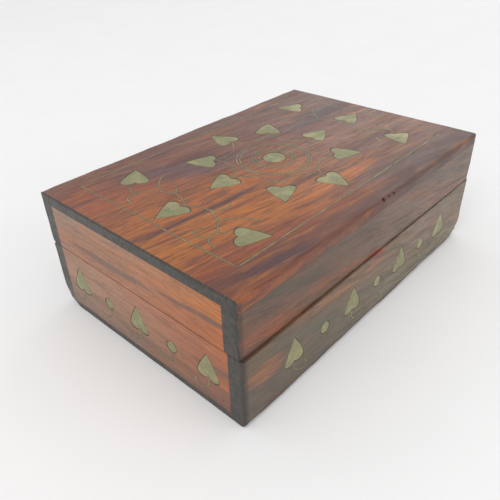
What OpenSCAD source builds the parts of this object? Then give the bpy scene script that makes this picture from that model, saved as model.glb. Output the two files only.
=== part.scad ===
// Hinged wooden keepsake box with flat brass inlay.
// Origin: centre of the underside. +X along the long side, -Y is the front, hinges at +Y, +Z up.
// Long boards run full length with the short boards between them, and the lid's
// top panel lies over its rails. Brass leaves and wires sit flush in cut pockets.

/* [Box] */
// Length of the box
box_l = 152; // [140:1:180]
// Width of the box, front to back
box_w = 102; // [96:1:120]
// Height of the base, up to the seam
base_h = 29.5; // [28:0.5:45]
// Height of the lid, above the seam
lid_h = 21.8; // [18:0.1:30]
// Thickness of the side boards and rails
wall_t = 6.5; // [6:0.1:8]
// Thickness of the lid's top panel
top_t = 4; // [3:0.1:6]
// Thickness of the bottom panel
bottom_t = 3; // [2.5:0.1:5]

/* [Edges] */
// Rounding of the base's lower edges at the front and back
bottom_round = 2.6; // [1:0.1:4]
// Rounding of the base's lower edges at the ends
end_round = 0.6; // [0.5:0.1:3]
// Rounding of the lid's upper edges
top_round = 1.6; // [0.5:0.1:3]
// Rounding of the upright corners
corner_round = 1.4; // [0.5:0.1:3]
// Easing of the edges that meet at the seam
seam_round = 0.4; // [0.2:0.1:0.8]
// How far the lid's front is set back at its left end
setback_left = 1.2; // [0.3:0.1:2]
// How far the lid's front is set back at its right end
setback_right = 0.2; // [0.1:0.1:2]

/* [Brass leaves] */
// Thickness of the brass sheet
sheet_t = 1; // [0.6:0.1:1.4]
// Filled gap round each leaf in its pocket
leaf_gap = 0.25; // [0.1:0.05:0.4]
// Length of a leaf on the lid
lid_leaf_l = 12.2; // [10:0.1:12.6]
// Width of a leaf on the lid
lid_leaf_w = 11; // [9:0.1:11.4]
// Length of a leaf on the sides
side_leaf_l = 11.2; // [8:0.1:12]
// Width of a leaf on the sides
side_leaf_w = 10; // [7:0.1:11]
// Radius of a round bud on the sides
bud_r = 2.3; // [1.5:0.1:3]

/* [Lid pattern] */
// Radius of the ring on which the leaves lie
ring_r = 30; // [29.5:0.1:30.5]
// Radius of the centre disc
disc_r = 4.6; // [3:0.1:6]
// Length of the wire border
border_l = 130.6; // [129:0.1:133]
// Width of the wire border
border_w = 81; // [80:0.1:84]
// Distance of the end leaves from the middle of the pattern, along the box
end_leaf_x = 55; // [54.5:0.1:55.5]
// Distance of the corner leaves from the middle of the pattern, along the box
corner_leaf_x = 48.5; // [48:0.1:49]
// Distance of the corner leaves from the middle of the pattern, across the box
corner_leaf_y = 30; // [29.5:0.1:30.5]
// Slant of the corner leaves
corner_leaf_slant = 50; // [45:1:55]

/* [Side pattern] */
// Spacing of the leaves along the front and back
long_pitch = 34.5; // [30:0.1:36]
// Spacing of the leaves along the ends
short_pitch = 35; // [30:0.1:36]
// Height of the leaves' middles on the front and back
long_leaf_z = 16.4; // [15:0.1:18]
// Height of the leaves' middles on the ends
short_leaf_z = 17.2; // [15:0.1:18]
// Height of the buds' middles on the front and back
long_bud_z = 15.1; // [14:0.1:18]
// Height of the buds' middles on the ends
short_bud_z = 15.2; // [14:0.1:18]

/* [Wire] */
// Width of the brass wire
wire_w = 0.5; // [0.4:0.05:0.8]
// Depth of the brass wire
wire_t = 0.8; // [0.6:0.1:1]
// Clearance on each side of a wire in its groove
wire_gap = 0.05; // [0.03:0.01:0.1]

/* [Hinges] */
// Length of a hinge
hinge_l = 20; // [16:0.5:24]
// Distance of each hinge from the middle of the box
hinge_x = 45; // [30:0.5:50]
// Radius of the hinge's knuckles
knuckle_r = 1.6; // [1.5:0.05:1.7]
// Distance of the hinge's axis from the back face
axis_inset = 1.7; // [1.7:0.05:1.8]
// Radius of the hinge pin
pin_r = 0.7; // [0.6:0.05:0.8]
// Clearance round the hinge pin
pin_gap = 0.05; // [0.02:0.01:0.08]
// Thickness of a hinge plate
plate_t = 0.8; // [0.6:0.05:0.9]
// Angle to which the lid opens before its back edge stops it
open_angle = 100; // [90:1:110]

/* [Lining] */
// Thickness of the velvet-covered card on the floor
lining_t = 1.6; // [1:0.1:3]
// Gap between the card and the boards
lining_gap = 0.5; // [0.3:0.1:1]

/* [Hidden] */
ring_count = 8;
ring_step = 360 / ring_count;
lid_base_nodes = [
    "lid_top_panel", "lid_front_rail", "lid_back_rail", "lid_left_rail", "lid_right_rail"
];
ring_nodes = [for (k = [1:ring_count]) str("lid_ring_leaf_", k)];
end_nodes = [for (side = ["left", "right"], place = ["back", "middle", "front"])
    str("lid_", side, "_", place, "_leaf")];
lid_wire_nodes = [
    "lid_centre_disc", "lid_inner_rings", "lid_outer_rings", "lid_scallop_wires",
    "lid_left_vine", "lid_right_vine", "lid_border_wires"
];
board_nodes = [
    "base_bottom_panel", "base_front_board", "base_back_board", "base_left_board",
    "base_right_board", "base_floor_lining"
];
side_leaf_nodes = concat(
    [for (k = [1:4]) str("front_leaf_", k)],
    [for (side = ["left", "right"], k = [1:3]) str(side, "_leaf_", k)],
    ["back_leaves"]
);
side_trim_nodes = [for (side = ["front", "back", "left", "right"], what = ["buds", "stems"])
    str(side, "_", what)];
hinge_nodes = [
    "left_hinge_lid_leaf", "left_hinge_base_leaf", "left_hinge_pin",
    "right_hinge_lid_leaf", "right_hinge_base_leaf", "right_hinge_pin",
    "lid_hinge_nails", "base_hinge_nails"
];

half_l = box_l / 2;
half_w = box_w / 2;
total_h = base_h + lid_h;
skew = atan((setback_left - setback_right) / box_l);
rail_top = total_h - top_t;
board_h = base_h - bottom_t;
lid_front = -half_w + setback_left;
lid_front_right = -half_w + setback_right;
// The lid's plan stands this much inside its moulded front, so that no two faces nearly meet
front_shave = 0.02;

// Curved outlines
corner_steps = 4;
leaf_steps = 7;
curve_steps = 9;
round_fn = 48;
ring_fn = 96;

// Depth by which a cutter stands out of the face it cuts
over = 1;

// Leaf outline, as shares of its length from its middle: tip, widest place, notch and ends of the lobes
leaf_tip = 0.54;
leaf_wide = -0.3;
leaf_notch = -0.345;
leaf_low = -0.46;
// Share of the curve in a leaf's flank that bulges outwards
flank_bulge = 0.4;
// Turn of the lobe's curve, from the widest place to the notch
lobe_turn = 150;
// A pocket is this much longer for each part that it is wider, because the leaf's tip is sharp
tip_share = 1.2;
// Share of the length from a leaf's middle to the top of its stem
stem_top = -0.44;
// The stems curl towards the left on the ends and towards the right on the long sides
end_hand = 1;
long_hand = -1;

// The inlay was laid by eye: middles of the left, middle and right groups on the lid
left_at = [0.6, 1];
middle_at = [1.5, 2.2];
right_at = [2.6, 3.6];
// Strays of the ring's leaves, counted from the right towards the back
ring_stray = [
    [0.8, 0.8], [0.6, 0.8], [0.1, -0.3], [-0.3, -1.1],
    [0.5, 0.7], [-0.3, -0.8], [-1.2, -0.5], [0.6, 1.2]
];
// Strays of the end leaves from back to front, left then right
end_stray = [[1.8, 1.2], [-0.2, 0.8], [-0.7, -1.4], [0.4, 0], [0.1, -0.4], [-0.4, -0.7]];
// Leaves lean a little one way and the other
lean = 3;

// Radii of the two pairs of wire rings, which sit a little off the disc's middle
inner_rings = [7.6, 8.9];
outer_rings = [13.9, 15.2];
rings_off = [-0.8, -0.5];
// Radii of the scalloped wire that runs from leaf to leaf, at its tips and between them
scallop_tip = 23.8;
scallop_waist = 18.4;
// Where a vine starts, in the notch of the end's middle leaf
vine_start = end_leaf_x - 5.4;

// Hinge
axis_y = half_w - axis_inset;
recess_gap = 0.3;
recess_r = knuckle_r + recess_gap;
knuckle_gap = 0.15;
lid_knuckle_l = 7;
pin_head_r = 1.1;
pin_head_t = 0.4;
recess_l = hinge_l + 2 * (pin_head_t + recess_gap);
plate_back = axis_y - recess_r;
plate_w = 2.7;
plate_front = plate_back - plate_w;
plate_gap = 0.05;
// Overlap that makes a plate and its knuckles one piece
join_t = 0.01;
nail_x = 6.8;
nail_y = plate_back - plate_w / 2;
nail_head_r = 1;
nail_head_t = 0.6;
nail_r = 0.5;
nail_l = 5;
nail_gap = 0.03;
bevel_start = 0.15;

long_leaves = places(4, long_pitch, long_leaf_z);
long_buds = places(3, long_pitch, long_bud_z);
short_leaves = places(3, short_pitch, short_leaf_z);
short_buds = places(2, short_pitch, short_bud_z);

wood_red = [0.46, 0.24, 0.14];
wood_dark = [0.34, 0.2, 0.15];
wood_orange = [0.62, 0.34, 0.17];
brass_dull = [0.62, 0.58, 0.38];
brass_bright = [0.75, 0.65, 0.36];
velvet_red = [0.4, 0.05, 0.08];

// ---------- outlines ----------

// Quarter circle about [x, y], starting at angle a
function corner(x, y, r, a) = [for (i = [0:corner_steps])
    let (b = a + 90 * i / corner_steps)
    [x, y] + r * [cos(b), sin(b)]];

// Upright rectangle with one rounding for its lower and one for its upper corners
function rounded(x0, y0, x1, y1, low, high) = concat(
    corner(x1 - high, y1 - high, high, 0),
    corner(x0 + high, y1 - high, high, 90),
    corner(x0 + low, y0 + low, low, 180),
    corner(x1 - low, y0 + low, low, 270)
);

// The lid seen from above: its front edge runs from one setback to the other
function lid_plan(front, back) = concat(
    corner(half_l - back, half_w - back, back, 0),
    corner(-half_l + back, half_w - back, back, 90),
    corner(-half_l + front, lid_front + front_shave + front, front, 180),
    corner(half_l - front, lid_front_right + front_shave + front, front, 270)
);

// Right half of a heart-shaped leaf: a bulging flank from the tip, then a lobe round to the notch
function half_leaf(l, w) = concat(
    [for (i = [0:leaf_steps])
        let (t = i / leaf_steps, bulge = flank_bulge * sin(90 * t) + (1 - flank_bulge) * t)
        [w / 2 * bulge, l * (leaf_tip + (leaf_wide - leaf_tip) * t)]],
    [for (i = [1:leaf_steps])
        let (a = lobe_turn * i / leaf_steps)
        [w / 4 * (1 + cos(a)), l * (leaf_wide + (leaf_low - leaf_wide) * sin(a))]]
);

function leaf_outline(l, w) =
    let (right = half_leaf(l, w), n = len(right))
    concat(right, [[0, l * leaf_notch]], [for (i = [n - 1:-1:1]) [-right[i][0], right[i][1]]]);

// Cubic curve from p[0] to p[3]
function curve(p) = [for (i = [0:curve_steps])
    let (t = i / curve_steps, s = 1 - t)
    s * s * s * p[0] + 3 * s * s * t * p[1] + 3 * s * t * t * p[2] + t * t * t * p[3]];

function heading(p, i) =
    let (a = p[max(i - 1, 0)], b = p[min(i + 1, len(p) - 1)])
    (b - a) / norm(b - a);

function side_of(p, i, d) = let (h = heading(p, i)) p[i] + d * [-h[1], h[0]];

// Ribbon of the given width along a line of points
function ribbon(p, w) = concat(
    [for (i = [0:len(p) - 1]) side_of(p, i, w / 2)],
    [for (i = [len(p) - 1:-1:0]) side_of(p, i, -w / 2)]
);

// One scallop, bowed inwards between two neighbouring leaves
function scallop(a) =
    let (p = scallop_tip * [cos(a), sin(a)], q = scallop_tip * [cos(a + ring_step), sin(a + ring_step)])
    let (waist = scallop_waist * [cos(a + ring_step / 2), sin(a + ring_step / 2)])
    let (bend = 2 * waist - (p + q) / 2)
    curve([p, (p + 2 * bend) / 3, (q + 2 * bend) / 3, q]);

// Curves of the front half of the vine at an end of the lid, from the middle of its group
function vine_front() = [
    [[vine_start, 0], [48, 2.5], [46.6, 5.5], [46, 9.3]],
    [[46, 9.3], [47, 13.5], [51, 19], [54.2, 20.8]],
    [[54.2, 20.8], [57.5, 21.4], [61.2, 21.6], [61, 27]],
    [[54.2, 20.8], [53.8, 22.4], [53.6, 23.8], [52.6, 25]],
    [[58.4, 21.4], [61.8, 19], [60.2, 11.5], [54.8, 16.8]],
    [[46, 9.3], [43.7, 12.4], [40.6, 13.6], [37.9, 11.6]],
    [[49.6, 17], [45, 17.5], [42, 22.5], [39.4, 27.8]]
];

// Curves of the back half, drawn as if they ran forwards too
function vine_back() = [
    [[vine_start, 0], [46.8, 2], [46, 5.5], [45.4, 9.4]],
    [[45.4, 9.4], [47, 14], [52, 20.5], [56, 20.7]],
    [[56, 20.7], [58.5, 20.7], [60.6, 18.8], [59.8, 16.4]],
    [[45.4, 9.4], [44.2, 9.8], [43, 11], [42.2, 12.6]],
    [[48, 14], [46.4, 16.8], [44.5, 21], [40, 23]],
    [[54.6, 20.4], [55.6, 21.6], [54.6, 24.2], [52.8, 26]]
];

// Stem that starts at height y below a leaf or bud, and the curl at the stem's end
function stem_curves(y, hand) = [
    [[0, y], [0.8 * hand, y - 2.6], [-hand, y - 5.2], [-4.4 * hand, y - 6]],
    [[-4.4 * hand, y - 6], [-7 * hand, y - 6], [-7.4 * hand, y - 3.6], [-5.7 * hand, y - 3.6]]
];
function leaf_stem(hand) = stem_curves(stem_top * side_leaf_l, hand);
function bud_stem(hand) = stem_curves(-bud_r - leaf_gap, hand);

// Evenly spaced places along a side, each [along, up]
function places(count, pitch, z) = [for (k = [1:count]) [(k - (count + 1) / 2) * pitch, z]];

// Alternating lean, from the leaf's number
function lean_of(k) = lean * sin(k * 137.5);

// ---------- placing ----------

// Puts a flat drawing on a side of the base, its x to the right as seen from outside and its y up
module on_front() {
    translate([0, -half_w, 0]) rotate([90, 0, 0]) children();
}
module on_back() {
    translate([0, half_w, 0]) rotate([90, 0, 180]) children();
}
module on_left() {
    translate([-half_l, 0, 0]) rotate([90, 0, -90]) children();
}
module on_right() {
    translate([half_l, 0, 0]) rotate([90, 0, 90]) children();
}
module on_lid(x, y, turn) {
    translate([x, y, total_h]) rotate([0, 0, turn]) children();
}

// Sinks a flat drawing into the face, and as a cutter also lets it stand out of the face
module sink(depth, cut = false) {
    translate([0, 0, -depth]) linear_extrude(cut ? depth + over : depth) children();
}

module leaf_body(l, w, cut = false) {
    grow = cut ? 2 * leaf_gap : 0;
    sink(sheet_t, cut) polygon(leaf_outline(l + grow * tip_share, w + grow));
}

module bud_body(cut = false) {
    sink(sheet_t, cut) circle(bud_r + (cut ? leaf_gap : 0), $fn = round_fn);
}

module wires(paths, cut = false) {
    grow = cut ? 2 * wire_gap : 0;
    sink(wire_t, cut) for (p = paths) polygon(ribbon(curve(p), wire_w + grow));
}

module at_each(list) {
    for (p = list) translate([p[0], p[1], 0]) children();
}

// ---------- wood envelopes ----------

module across_x(outline) {
    translate([-half_l - over, 0, 0]) rotate([90, 0, 90]) linear_extrude(box_l + 2 * over) polygon(outline);
}
module across_y(outline) {
    translate([0, half_w + over, 0]) rotate([90, 0, 0]) linear_extrude(box_w + 2 * over) polygon(outline);
}

module base_envelope() {
    intersection() {
        across_x(rounded(-half_w, 0, half_w, base_h, bottom_round, seam_round));
        across_y(rounded(-half_l, 0, half_l, base_h, end_round, seam_round));
        linear_extrude(base_h) polygon(rounded(-half_l, -half_w, half_l, half_w, corner_round, corner_round));
    }
}

// The lid's front runs slightly askew, because its panel has shrunk
module lid_front_cut() {
    translate([-half_l, -half_w + setback_left, 0]) rotate([0, 0, -skew])
        translate([-box_l, 0, 0]) rotate([90, 0, 90]) linear_extrude(3 * box_l)
            polygon(rounded(0, base_h, 2 * box_w, total_h, seam_round, top_round));
}

module lid_envelope() {
    intersection() {
        across_x(rounded(-half_w, base_h, half_w, total_h, seam_round, top_round));
        across_y(rounded(-half_l, base_h, half_l, total_h, seam_round, top_round));
        translate([0, 0, base_h]) linear_extrude(lid_h)
            polygon(lid_plan(corner_round / 2, corner_round));
        lid_front_cut();
    }
}

// Room for the hinges: bevels that meet at the open angle, knuckle recess and plate mortises
module hinge_room(up) {
    bevel = open_angle / 2;
    edge = axis_y - bevel_start;
    far = axis_inset + bevel_start + over;
    translate([-half_l - over, 0, base_h]) rotate([90, 0, 90]) linear_extrude(box_l + 2 * over)
        polygon([[edge, 0], [edge + far, up * far * tan(bevel)], [edge + far, 0]]);
    for (side = [-1, 1]) translate([side * hinge_x, 0, 0]) {
        translate([-recess_l / 2, axis_y, base_h]) rotate([0, 90, 0])
            cylinder(h = recess_l, r = recess_r, $fn = round_fn);
        plate_mortise(up);
        for (s = [-1, 1]) translate([s * nail_x, nail_y, base_h]) nail_shape(up, nail_gap);
    }
}

module plate_mortise(up) {
    low = up > 0 ? base_h - over : base_h - plate_t;
    translate([-hinge_l / 2 - plate_gap, plate_front - plate_gap, low])
        cube([hinge_l + 2 * plate_gap, plate_w + recess_r, plate_t + over]);
}

// ---------- cutters for the inlay ----------

module side_inlay_cut(leaves, buds, hand) {
    at_each(leaves) {
        leaf_body(side_leaf_l, side_leaf_w, true);
        wires(leaf_stem(hand), true);
    }
    at_each(buds) {
        bud_body(true);
        wires(bud_stem(hand), true);
    }
}

// ---------- base ----------

module base_bottom_panel() {
    color(wood_dark) intersection() {
        base_envelope();
        translate([-half_l, -half_w, 0]) cube([box_l, box_w, bottom_t]);
    }
}

module base_front_board() {
    color(wood_dark) difference() {
        intersection() {
            base_envelope();
            translate([-half_l, -half_w, bottom_t]) cube([box_l, wall_t, board_h]);
        }
        on_front() side_inlay_cut(long_leaves, long_buds, long_hand);
    }
}

module base_back_board() {
    color(wood_dark) difference() {
        intersection() {
            base_envelope();
            translate([-half_l, half_w - wall_t, bottom_t]) cube([box_l, wall_t, board_h]);
        }
        on_back() side_inlay_cut(long_leaves, long_buds, long_hand);
        hinge_room(-1);
    }
}

module base_end_board(side) {
    color(wood_red) difference() {
        intersection() {
            base_envelope();
            translate([side > 0 ? half_l - wall_t : -half_l, -half_w + wall_t, bottom_t])
                cube([wall_t, box_w - 2 * wall_t, board_h]);
        }
        if (side < 0) on_left() side_inlay_cut(short_leaves, short_buds, end_hand);
        if (side > 0) on_right() side_inlay_cut(short_leaves, short_buds, end_hand);
    }
}

module base_floor_lining() {
    inset = wall_t + lining_gap;
    color(velvet_red) translate([0, 0, bottom_t]) linear_extrude(lining_t)
        square([box_l - 2 * inset, box_w - 2 * inset], center = true);
}

module side_leaf() {
    color(brass_dull) leaf_body(side_leaf_l, side_leaf_w);
}

module buds(places) {
    color(brass_bright) at_each(places) bud_body();
}

module stems(leaves, buds, hand) {
    color(brass_bright) {
        at_each(leaves) wires(leaf_stem(hand));
        at_each(buds) wires(bud_stem(hand));
    }
}

// ---------- lid ----------

module lid_rail(x0, y0, x1, y1, back = false) {
    color(wood_orange) difference() {
        intersection() {
            lid_envelope();
            translate([x0, y0, base_h]) cube([x1 - x0, y1 - y0, lid_h - top_t]);
        }
        if (back) hinge_room(1);
    }
}

module lid_front_rail() {
    lid_rail(-half_l, -half_w, half_l, lid_front + wall_t);
}
module lid_back_rail() {
    lid_rail(-half_l, half_w - wall_t, half_l, half_w, true);
}
module lid_left_rail() {
    lid_rail(-half_l, lid_front + wall_t, -half_l + wall_t, half_w - wall_t);
}
module lid_right_rail() {
    lid_rail(half_l - wall_t, lid_front + wall_t, half_l, half_w - wall_t);
}

module lid_top_panel() {
    color(wood_orange) difference() {
        intersection() {
            lid_envelope();
            translate([-half_l, -half_w, rail_top]) cube([box_l, box_w, top_t]);
        }
        for (k = [1:ring_count]) ring_leaf(k, true);
        for (sx = [-1, 1], sy = [-1:1]) end_leaf(sx, sy, true);
        centre_disc(true);
        wire_rings(inner_rings, true);
        wire_rings(outer_rings, true);
        scallop_wires(true);
        for (sx = [-1, 1]) vine(sx, true);
        border_wires(true);
    }
}

module ring_leaf(k, cut = false) {
    a = (k - 1) * ring_step;
    at = middle_at + ring_stray[k - 1] + ring_r * [cos(a), sin(a)];
    color(brass_dull) on_lid(at[0], at[1], a - 90 + lean_of(k)) leaf_body(lid_leaf_l, lid_leaf_w, cut);
}

// Leaf at an end of the lid: sy is 1 for the back corner, 0 for the middle and -1 for the front corner
module end_leaf(sx, sy, cut = false) {
    place = sy == 0 ? [end_leaf_x, 0] : [corner_leaf_x, corner_leaf_y];
    stray = end_stray[(sx + 1) * 1.5 + 1 - sy];
    at = (sx < 0 ? left_at : right_at) + [sx * place[0], sy * place[1]] + stray;
    tip = sy == 0 ? [sx, 0] : [-sx * cos(corner_leaf_slant), sy * sin(corner_leaf_slant)];
    color(brass_dull) on_lid(at[0], at[1], atan2(tip[1], tip[0]) - 90 + lean_of(sx + sy))
        leaf_body(lid_leaf_l, lid_leaf_w, cut);
}

module centre_disc(cut = false) {
    color(brass_dull) on_lid(middle_at[0], middle_at[1], 0) translate([0, 0, -sheet_t])
        cylinder(h = cut ? sheet_t + over : sheet_t, r = disc_r + (cut ? leaf_gap : 0), $fn = round_fn);
}

module wire_rings(radii, cut = false) {
    half = wire_w / 2 + (cut ? wire_gap : 0);
    at = middle_at + rings_off;
    color(brass_bright) on_lid(at[0], at[1], 0) for (r = radii) sink(wire_t, cut) difference() {
        circle(r + half, $fn = ring_fn);
        circle(r - half, $fn = ring_fn);
    }
}

module scallop_wires(cut = false) {
    w = wire_w + (cut ? 2 * wire_gap : 0);
    color(brass_bright) on_lid(middle_at[0], middle_at[1], 0) sink(wire_t, cut)
        for (k = [0:ring_count - 1]) polygon(ribbon(scallop(k * ring_step), w));
}

module vine(sx, cut = false) {
    at = sx < 0 ? left_at : right_at;
    color(brass_bright) on_lid(at[0], at[1], 0)
        for (sy = [-1, 1])
            wires([for (p = sy < 0 ? vine_front() : vine_back()) [for (q = p) [sx * q[0], sy * q[1]]]], cut);
}

module border_wires(cut = false) {
    w = wire_w + (cut ? 2 * wire_gap : 0);
    color(brass_bright) on_lid(middle_at[0], middle_at[1], 0) sink(wire_t, cut)
        for (s = [-1, 1]) {
            translate([0, s * border_w / 2]) square([border_l + w, w], center = true);
            translate([s * border_l / 2, 0])
                square([w, border_w - wire_w - (cut ? 0 : 2 * wire_gap)], center = true);
        }
}

// ---------- hinges ----------

module knuckle(x0, x1) {
    translate([x0, axis_y, base_h]) rotate([0, 90, 0]) cylinder(h = x1 - x0, r = knuckle_r, $fn = round_fn);
}

module tongue(x0, x1, up) {
    translate([x0, plate_back - join_t, up > 0 ? base_h : base_h - plate_t])
        cube([x1 - x0, recess_r + join_t, plate_t]);
}

// One leaf of a hinge; up is 1 for the lid's leaf and -1 for the base's
module hinge_leaf(side, up) {
    half = lid_knuckle_l / 2;
    outer = half + knuckle_gap;
    spans = up > 0 ? [[-half, half]] : [[-hinge_l / 2, -outer], [outer, hinge_l / 2]];
    color(brass_bright) translate([side * hinge_x, 0, 0]) difference() {
        union() {
            translate([-hinge_l / 2, plate_front, up > 0 ? base_h : base_h - plate_t])
                cube([hinge_l, plate_w, plate_t]);
            for (s = spans) {
                knuckle(s[0], s[1]);
                tongue(s[0], s[1], up);
            }
        }
        translate([-hinge_l, axis_y, base_h]) rotate([0, 90, 0])
            cylinder(h = 2 * hinge_l, r = pin_r + pin_gap, $fn = round_fn);
        for (s = [-1, 1]) translate([s * nail_x, nail_y, base_h]) nail_shape(up, nail_gap);
    }
}

module hinge_pin(side) {
    color(brass_bright) translate([side * hinge_x, axis_y, base_h]) rotate([0, 90, 0]) {
        translate([0, 0, -hinge_l / 2]) cylinder(h = hinge_l, r = pin_r, $fn = round_fn);
        for (z = [-hinge_l / 2 - pin_head_t, hinge_l / 2])
            translate([0, 0, z]) cylinder(h = pin_head_t, r = pin_head_r, $fn = round_fn);
    }
}

// Countersunk nail with its head at the seam, driven up into the lid or down into the base
module nail_shape(up, gap = 0) {
    rotate([up > 0 ? 0 : 180, 0, 0]) {
        cylinder(h = nail_head_t, r1 = nail_head_r + gap, r2 = nail_r + gap, $fn = round_fn);
        cylinder(h = nail_l + gap, r = nail_r + gap, $fn = round_fn);
    }
}

module hinge_nails(up) {
    color(brass_bright) for (side = [-1, 1], s = [-1, 1])
        translate([side * hinge_x + s * nail_x, nail_y, base_h]) nail_shape(up);
}

// ---------- nodes ----------

base_bottom_panel();
base_front_board();
base_back_board();
base_end_board(-1);  // base_left_board
base_end_board(1);  // base_right_board
base_floor_lining();
for (k = [1:4]) {
    on_front() at_each([long_leaves[k - 1]]) side_leaf();
}
for (k = [1:3]) {
    on_left() at_each([short_leaves[k - 1]]) side_leaf();
    on_right() at_each([short_leaves[k - 1]]) side_leaf();
}
on_back() at_each(long_leaves) side_leaf();  // back_leaves
on_front() buds(long_buds);  // front_buds
on_back() buds(long_buds);  // back_buds
on_left() buds(short_buds);  // left_buds
on_right() buds(short_buds);  // right_buds
on_front() stems(long_leaves, long_buds, long_hand);  // front_stems
on_back() stems(long_leaves, long_buds, long_hand);  // back_stems
on_left() stems(short_leaves, short_buds, end_hand);  // left_stems
on_right() stems(short_leaves, short_buds, end_hand);  // right_stems
lid_front_rail();
lid_back_rail();
lid_left_rail();
lid_right_rail();
lid_top_panel();
for (k = [1:ring_count]) {
    ring_leaf(k);
}
for (i = [0:1], j = [0:2]) {
    end_leaf(2 * i - 1, 1 - j);
}
centre_disc();  // lid_centre_disc
wire_rings(inner_rings);  // lid_inner_rings
wire_rings(outer_rings);  // lid_outer_rings
scallop_wires();  // lid_scallop_wires
vine(-1);  // lid_left_vine
vine(1);  // lid_right_vine
border_wires();  // lid_border_wires
hinge_leaf(-1, 1);  // left_hinge_lid_leaf
hinge_leaf(-1, -1);  // left_hinge_base_leaf
hinge_pin(-1);  // left_hinge_pin
hinge_leaf(1, 1);  // right_hinge_lid_leaf
hinge_leaf(1, -1);  // right_hinge_base_leaf
hinge_pin(1);  // right_hinge_pin
hinge_nails(1);  // lid_hinge_nails
hinge_nails(-1);  // base_hinge_nails
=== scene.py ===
"""Inlaid wooden box: worn hardwood boards, flush brass leaves and wires, brass hinges and a velvet floor.

Sizes in this script are millimetres in the box's own frame, and a mesh gets them in metres.
"""

import logging
import math
from dataclasses import dataclass, field
from enum import Enum
from typing import Callable, Sequence

import bpy
import numpy as np
from mathutils import Matrix, Vector


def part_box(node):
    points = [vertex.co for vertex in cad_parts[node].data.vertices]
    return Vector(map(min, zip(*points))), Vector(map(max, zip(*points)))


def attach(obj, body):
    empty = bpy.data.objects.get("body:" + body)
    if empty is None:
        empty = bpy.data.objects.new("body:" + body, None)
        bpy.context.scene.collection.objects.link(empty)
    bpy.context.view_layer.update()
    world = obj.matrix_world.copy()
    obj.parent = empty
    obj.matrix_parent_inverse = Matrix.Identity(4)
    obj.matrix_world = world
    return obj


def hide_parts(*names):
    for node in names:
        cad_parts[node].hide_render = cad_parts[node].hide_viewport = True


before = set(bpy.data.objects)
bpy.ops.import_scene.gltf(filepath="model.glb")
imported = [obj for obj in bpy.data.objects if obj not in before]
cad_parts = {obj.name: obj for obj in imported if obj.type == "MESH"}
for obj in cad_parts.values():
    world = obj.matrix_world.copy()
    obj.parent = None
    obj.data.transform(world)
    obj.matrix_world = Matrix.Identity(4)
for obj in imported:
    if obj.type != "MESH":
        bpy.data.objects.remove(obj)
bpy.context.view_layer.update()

Array = np.ndarray
Colour = tuple[float, float, float]
MM = 0.001
log = logging.getLogger("box")


# ---------- choices ----------


class Body(Enum):
    """The two bodies that the box's pieces ride on."""

    BASE = "base"
    LID = "lid"


class Grain(Enum):
    """The direction that a board's grain runs in, as the axis number."""

    ALONG_X = 0
    ALONG_Y = 1


class Figure(Enum):
    """The direction across which a board's bands of colour change, as the axis number."""

    OVER_Y = 1
    OVER_Z = 2


# ---------- sizes ----------


def span(node: str) -> tuple[Array, Array]:
    """Lowest and highest corner of a CAD node, in millimetres.

    Args:
        node: the CAD node's name.

    Returns:
        The two corners as arrays of three.
    """
    low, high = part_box(node)
    return np.array(low) / MM, np.array(high) / MM


@dataclass(frozen=True)
class Sizes:
    """The box's main sizes, worked out from the CAD boards."""

    half_l: float
    half_w: float
    base_h: float
    total_h: float
    lid_front_left: float
    lid_front_right: float
    bottom_round: float = 2.6
    end_round: float = 0.6
    top_round: float = 1.6
    corner_round: float = 1.4
    seam_round: float = 0.4

    @classmethod
    def from_frame(cls) -> "Sizes":
        """Reads the sizes off the boards' own boxes.

        Returns:
            The sizes.
        """
        board_low, board_high = span("base_front_board")
        end_low, end_high = span("base_left_board")
        panel_low, panel_high = span("lid_top_panel")
        rail_low, _ = span("lid_left_rail")
        wall = end_high[0] - end_low[0]
        return cls(
            half_l=board_high[0], half_w=-board_low[1], base_h=board_high[2],
            total_h=panel_high[2], lid_front_left=rail_low[1] - wall, lid_front_right=panel_low[1],
        )

    def lid_front(self, x: Array) -> Array:
        """The lid's front face: a straight line from its set-back left end to its right end."""
        share = (x + self.half_l) / (2 * self.half_l)
        return self.lid_front_left + (self.lid_front_right - self.lid_front_left) * share


# ---------- skins ----------


@dataclass
class Skin:
    """A closed surface: its points in millimetres and its faces as arrays of point numbers."""

    points: Array
    faces: list[Array]

    def outward(self) -> "Skin":
        """Turns the faces round if the volume that they enclose comes out negative.

        Returns:
            This skin, with its faces looking outwards.
        """
        volume = 0.0
        for block in self.faces:
            first = self.points[block[:, 0]]
            for corner in range(1, block.shape[1] - 1):
                turned = np.cross(self.points[block[:, corner]], self.points[block[:, corner + 1]])
                volume += float(np.sum(first * turned))
        if volume < 0:
            self.faces = [block[:, ::-1] for block in self.faces]
        return self

    def to_object(self, name: str) -> bpy.types.Object:
        """Puts the skin into the scene.

        Args:
            name: the name of the object and of its mesh.

        Returns:
            The object, whose mesh is in metres.
        """
        mesh = bpy.data.meshes.new(name)
        mesh.from_pydata((self.points * MM).tolist(), [],
                         [f for block in self.faces for f in block.tolist()])
        made = bpy.data.objects.new(name, mesh)
        bpy.context.scene.collection.objects.link(made)
        return made


def join(skins: Sequence[Skin]) -> Skin:
    """Puts several skins into one, side by side.

    Args:
        skins: the skins, which stay separate surfaces.

    Returns:
        One skin with all the points and faces.
    """
    starts = np.cumsum([0] + [len(s.points) for s in skins])
    faces = [block + start for s, start in zip(skins, starts) for block in s.faces]
    return Skin(np.vstack([s.points for s in skins]), faces)


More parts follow.
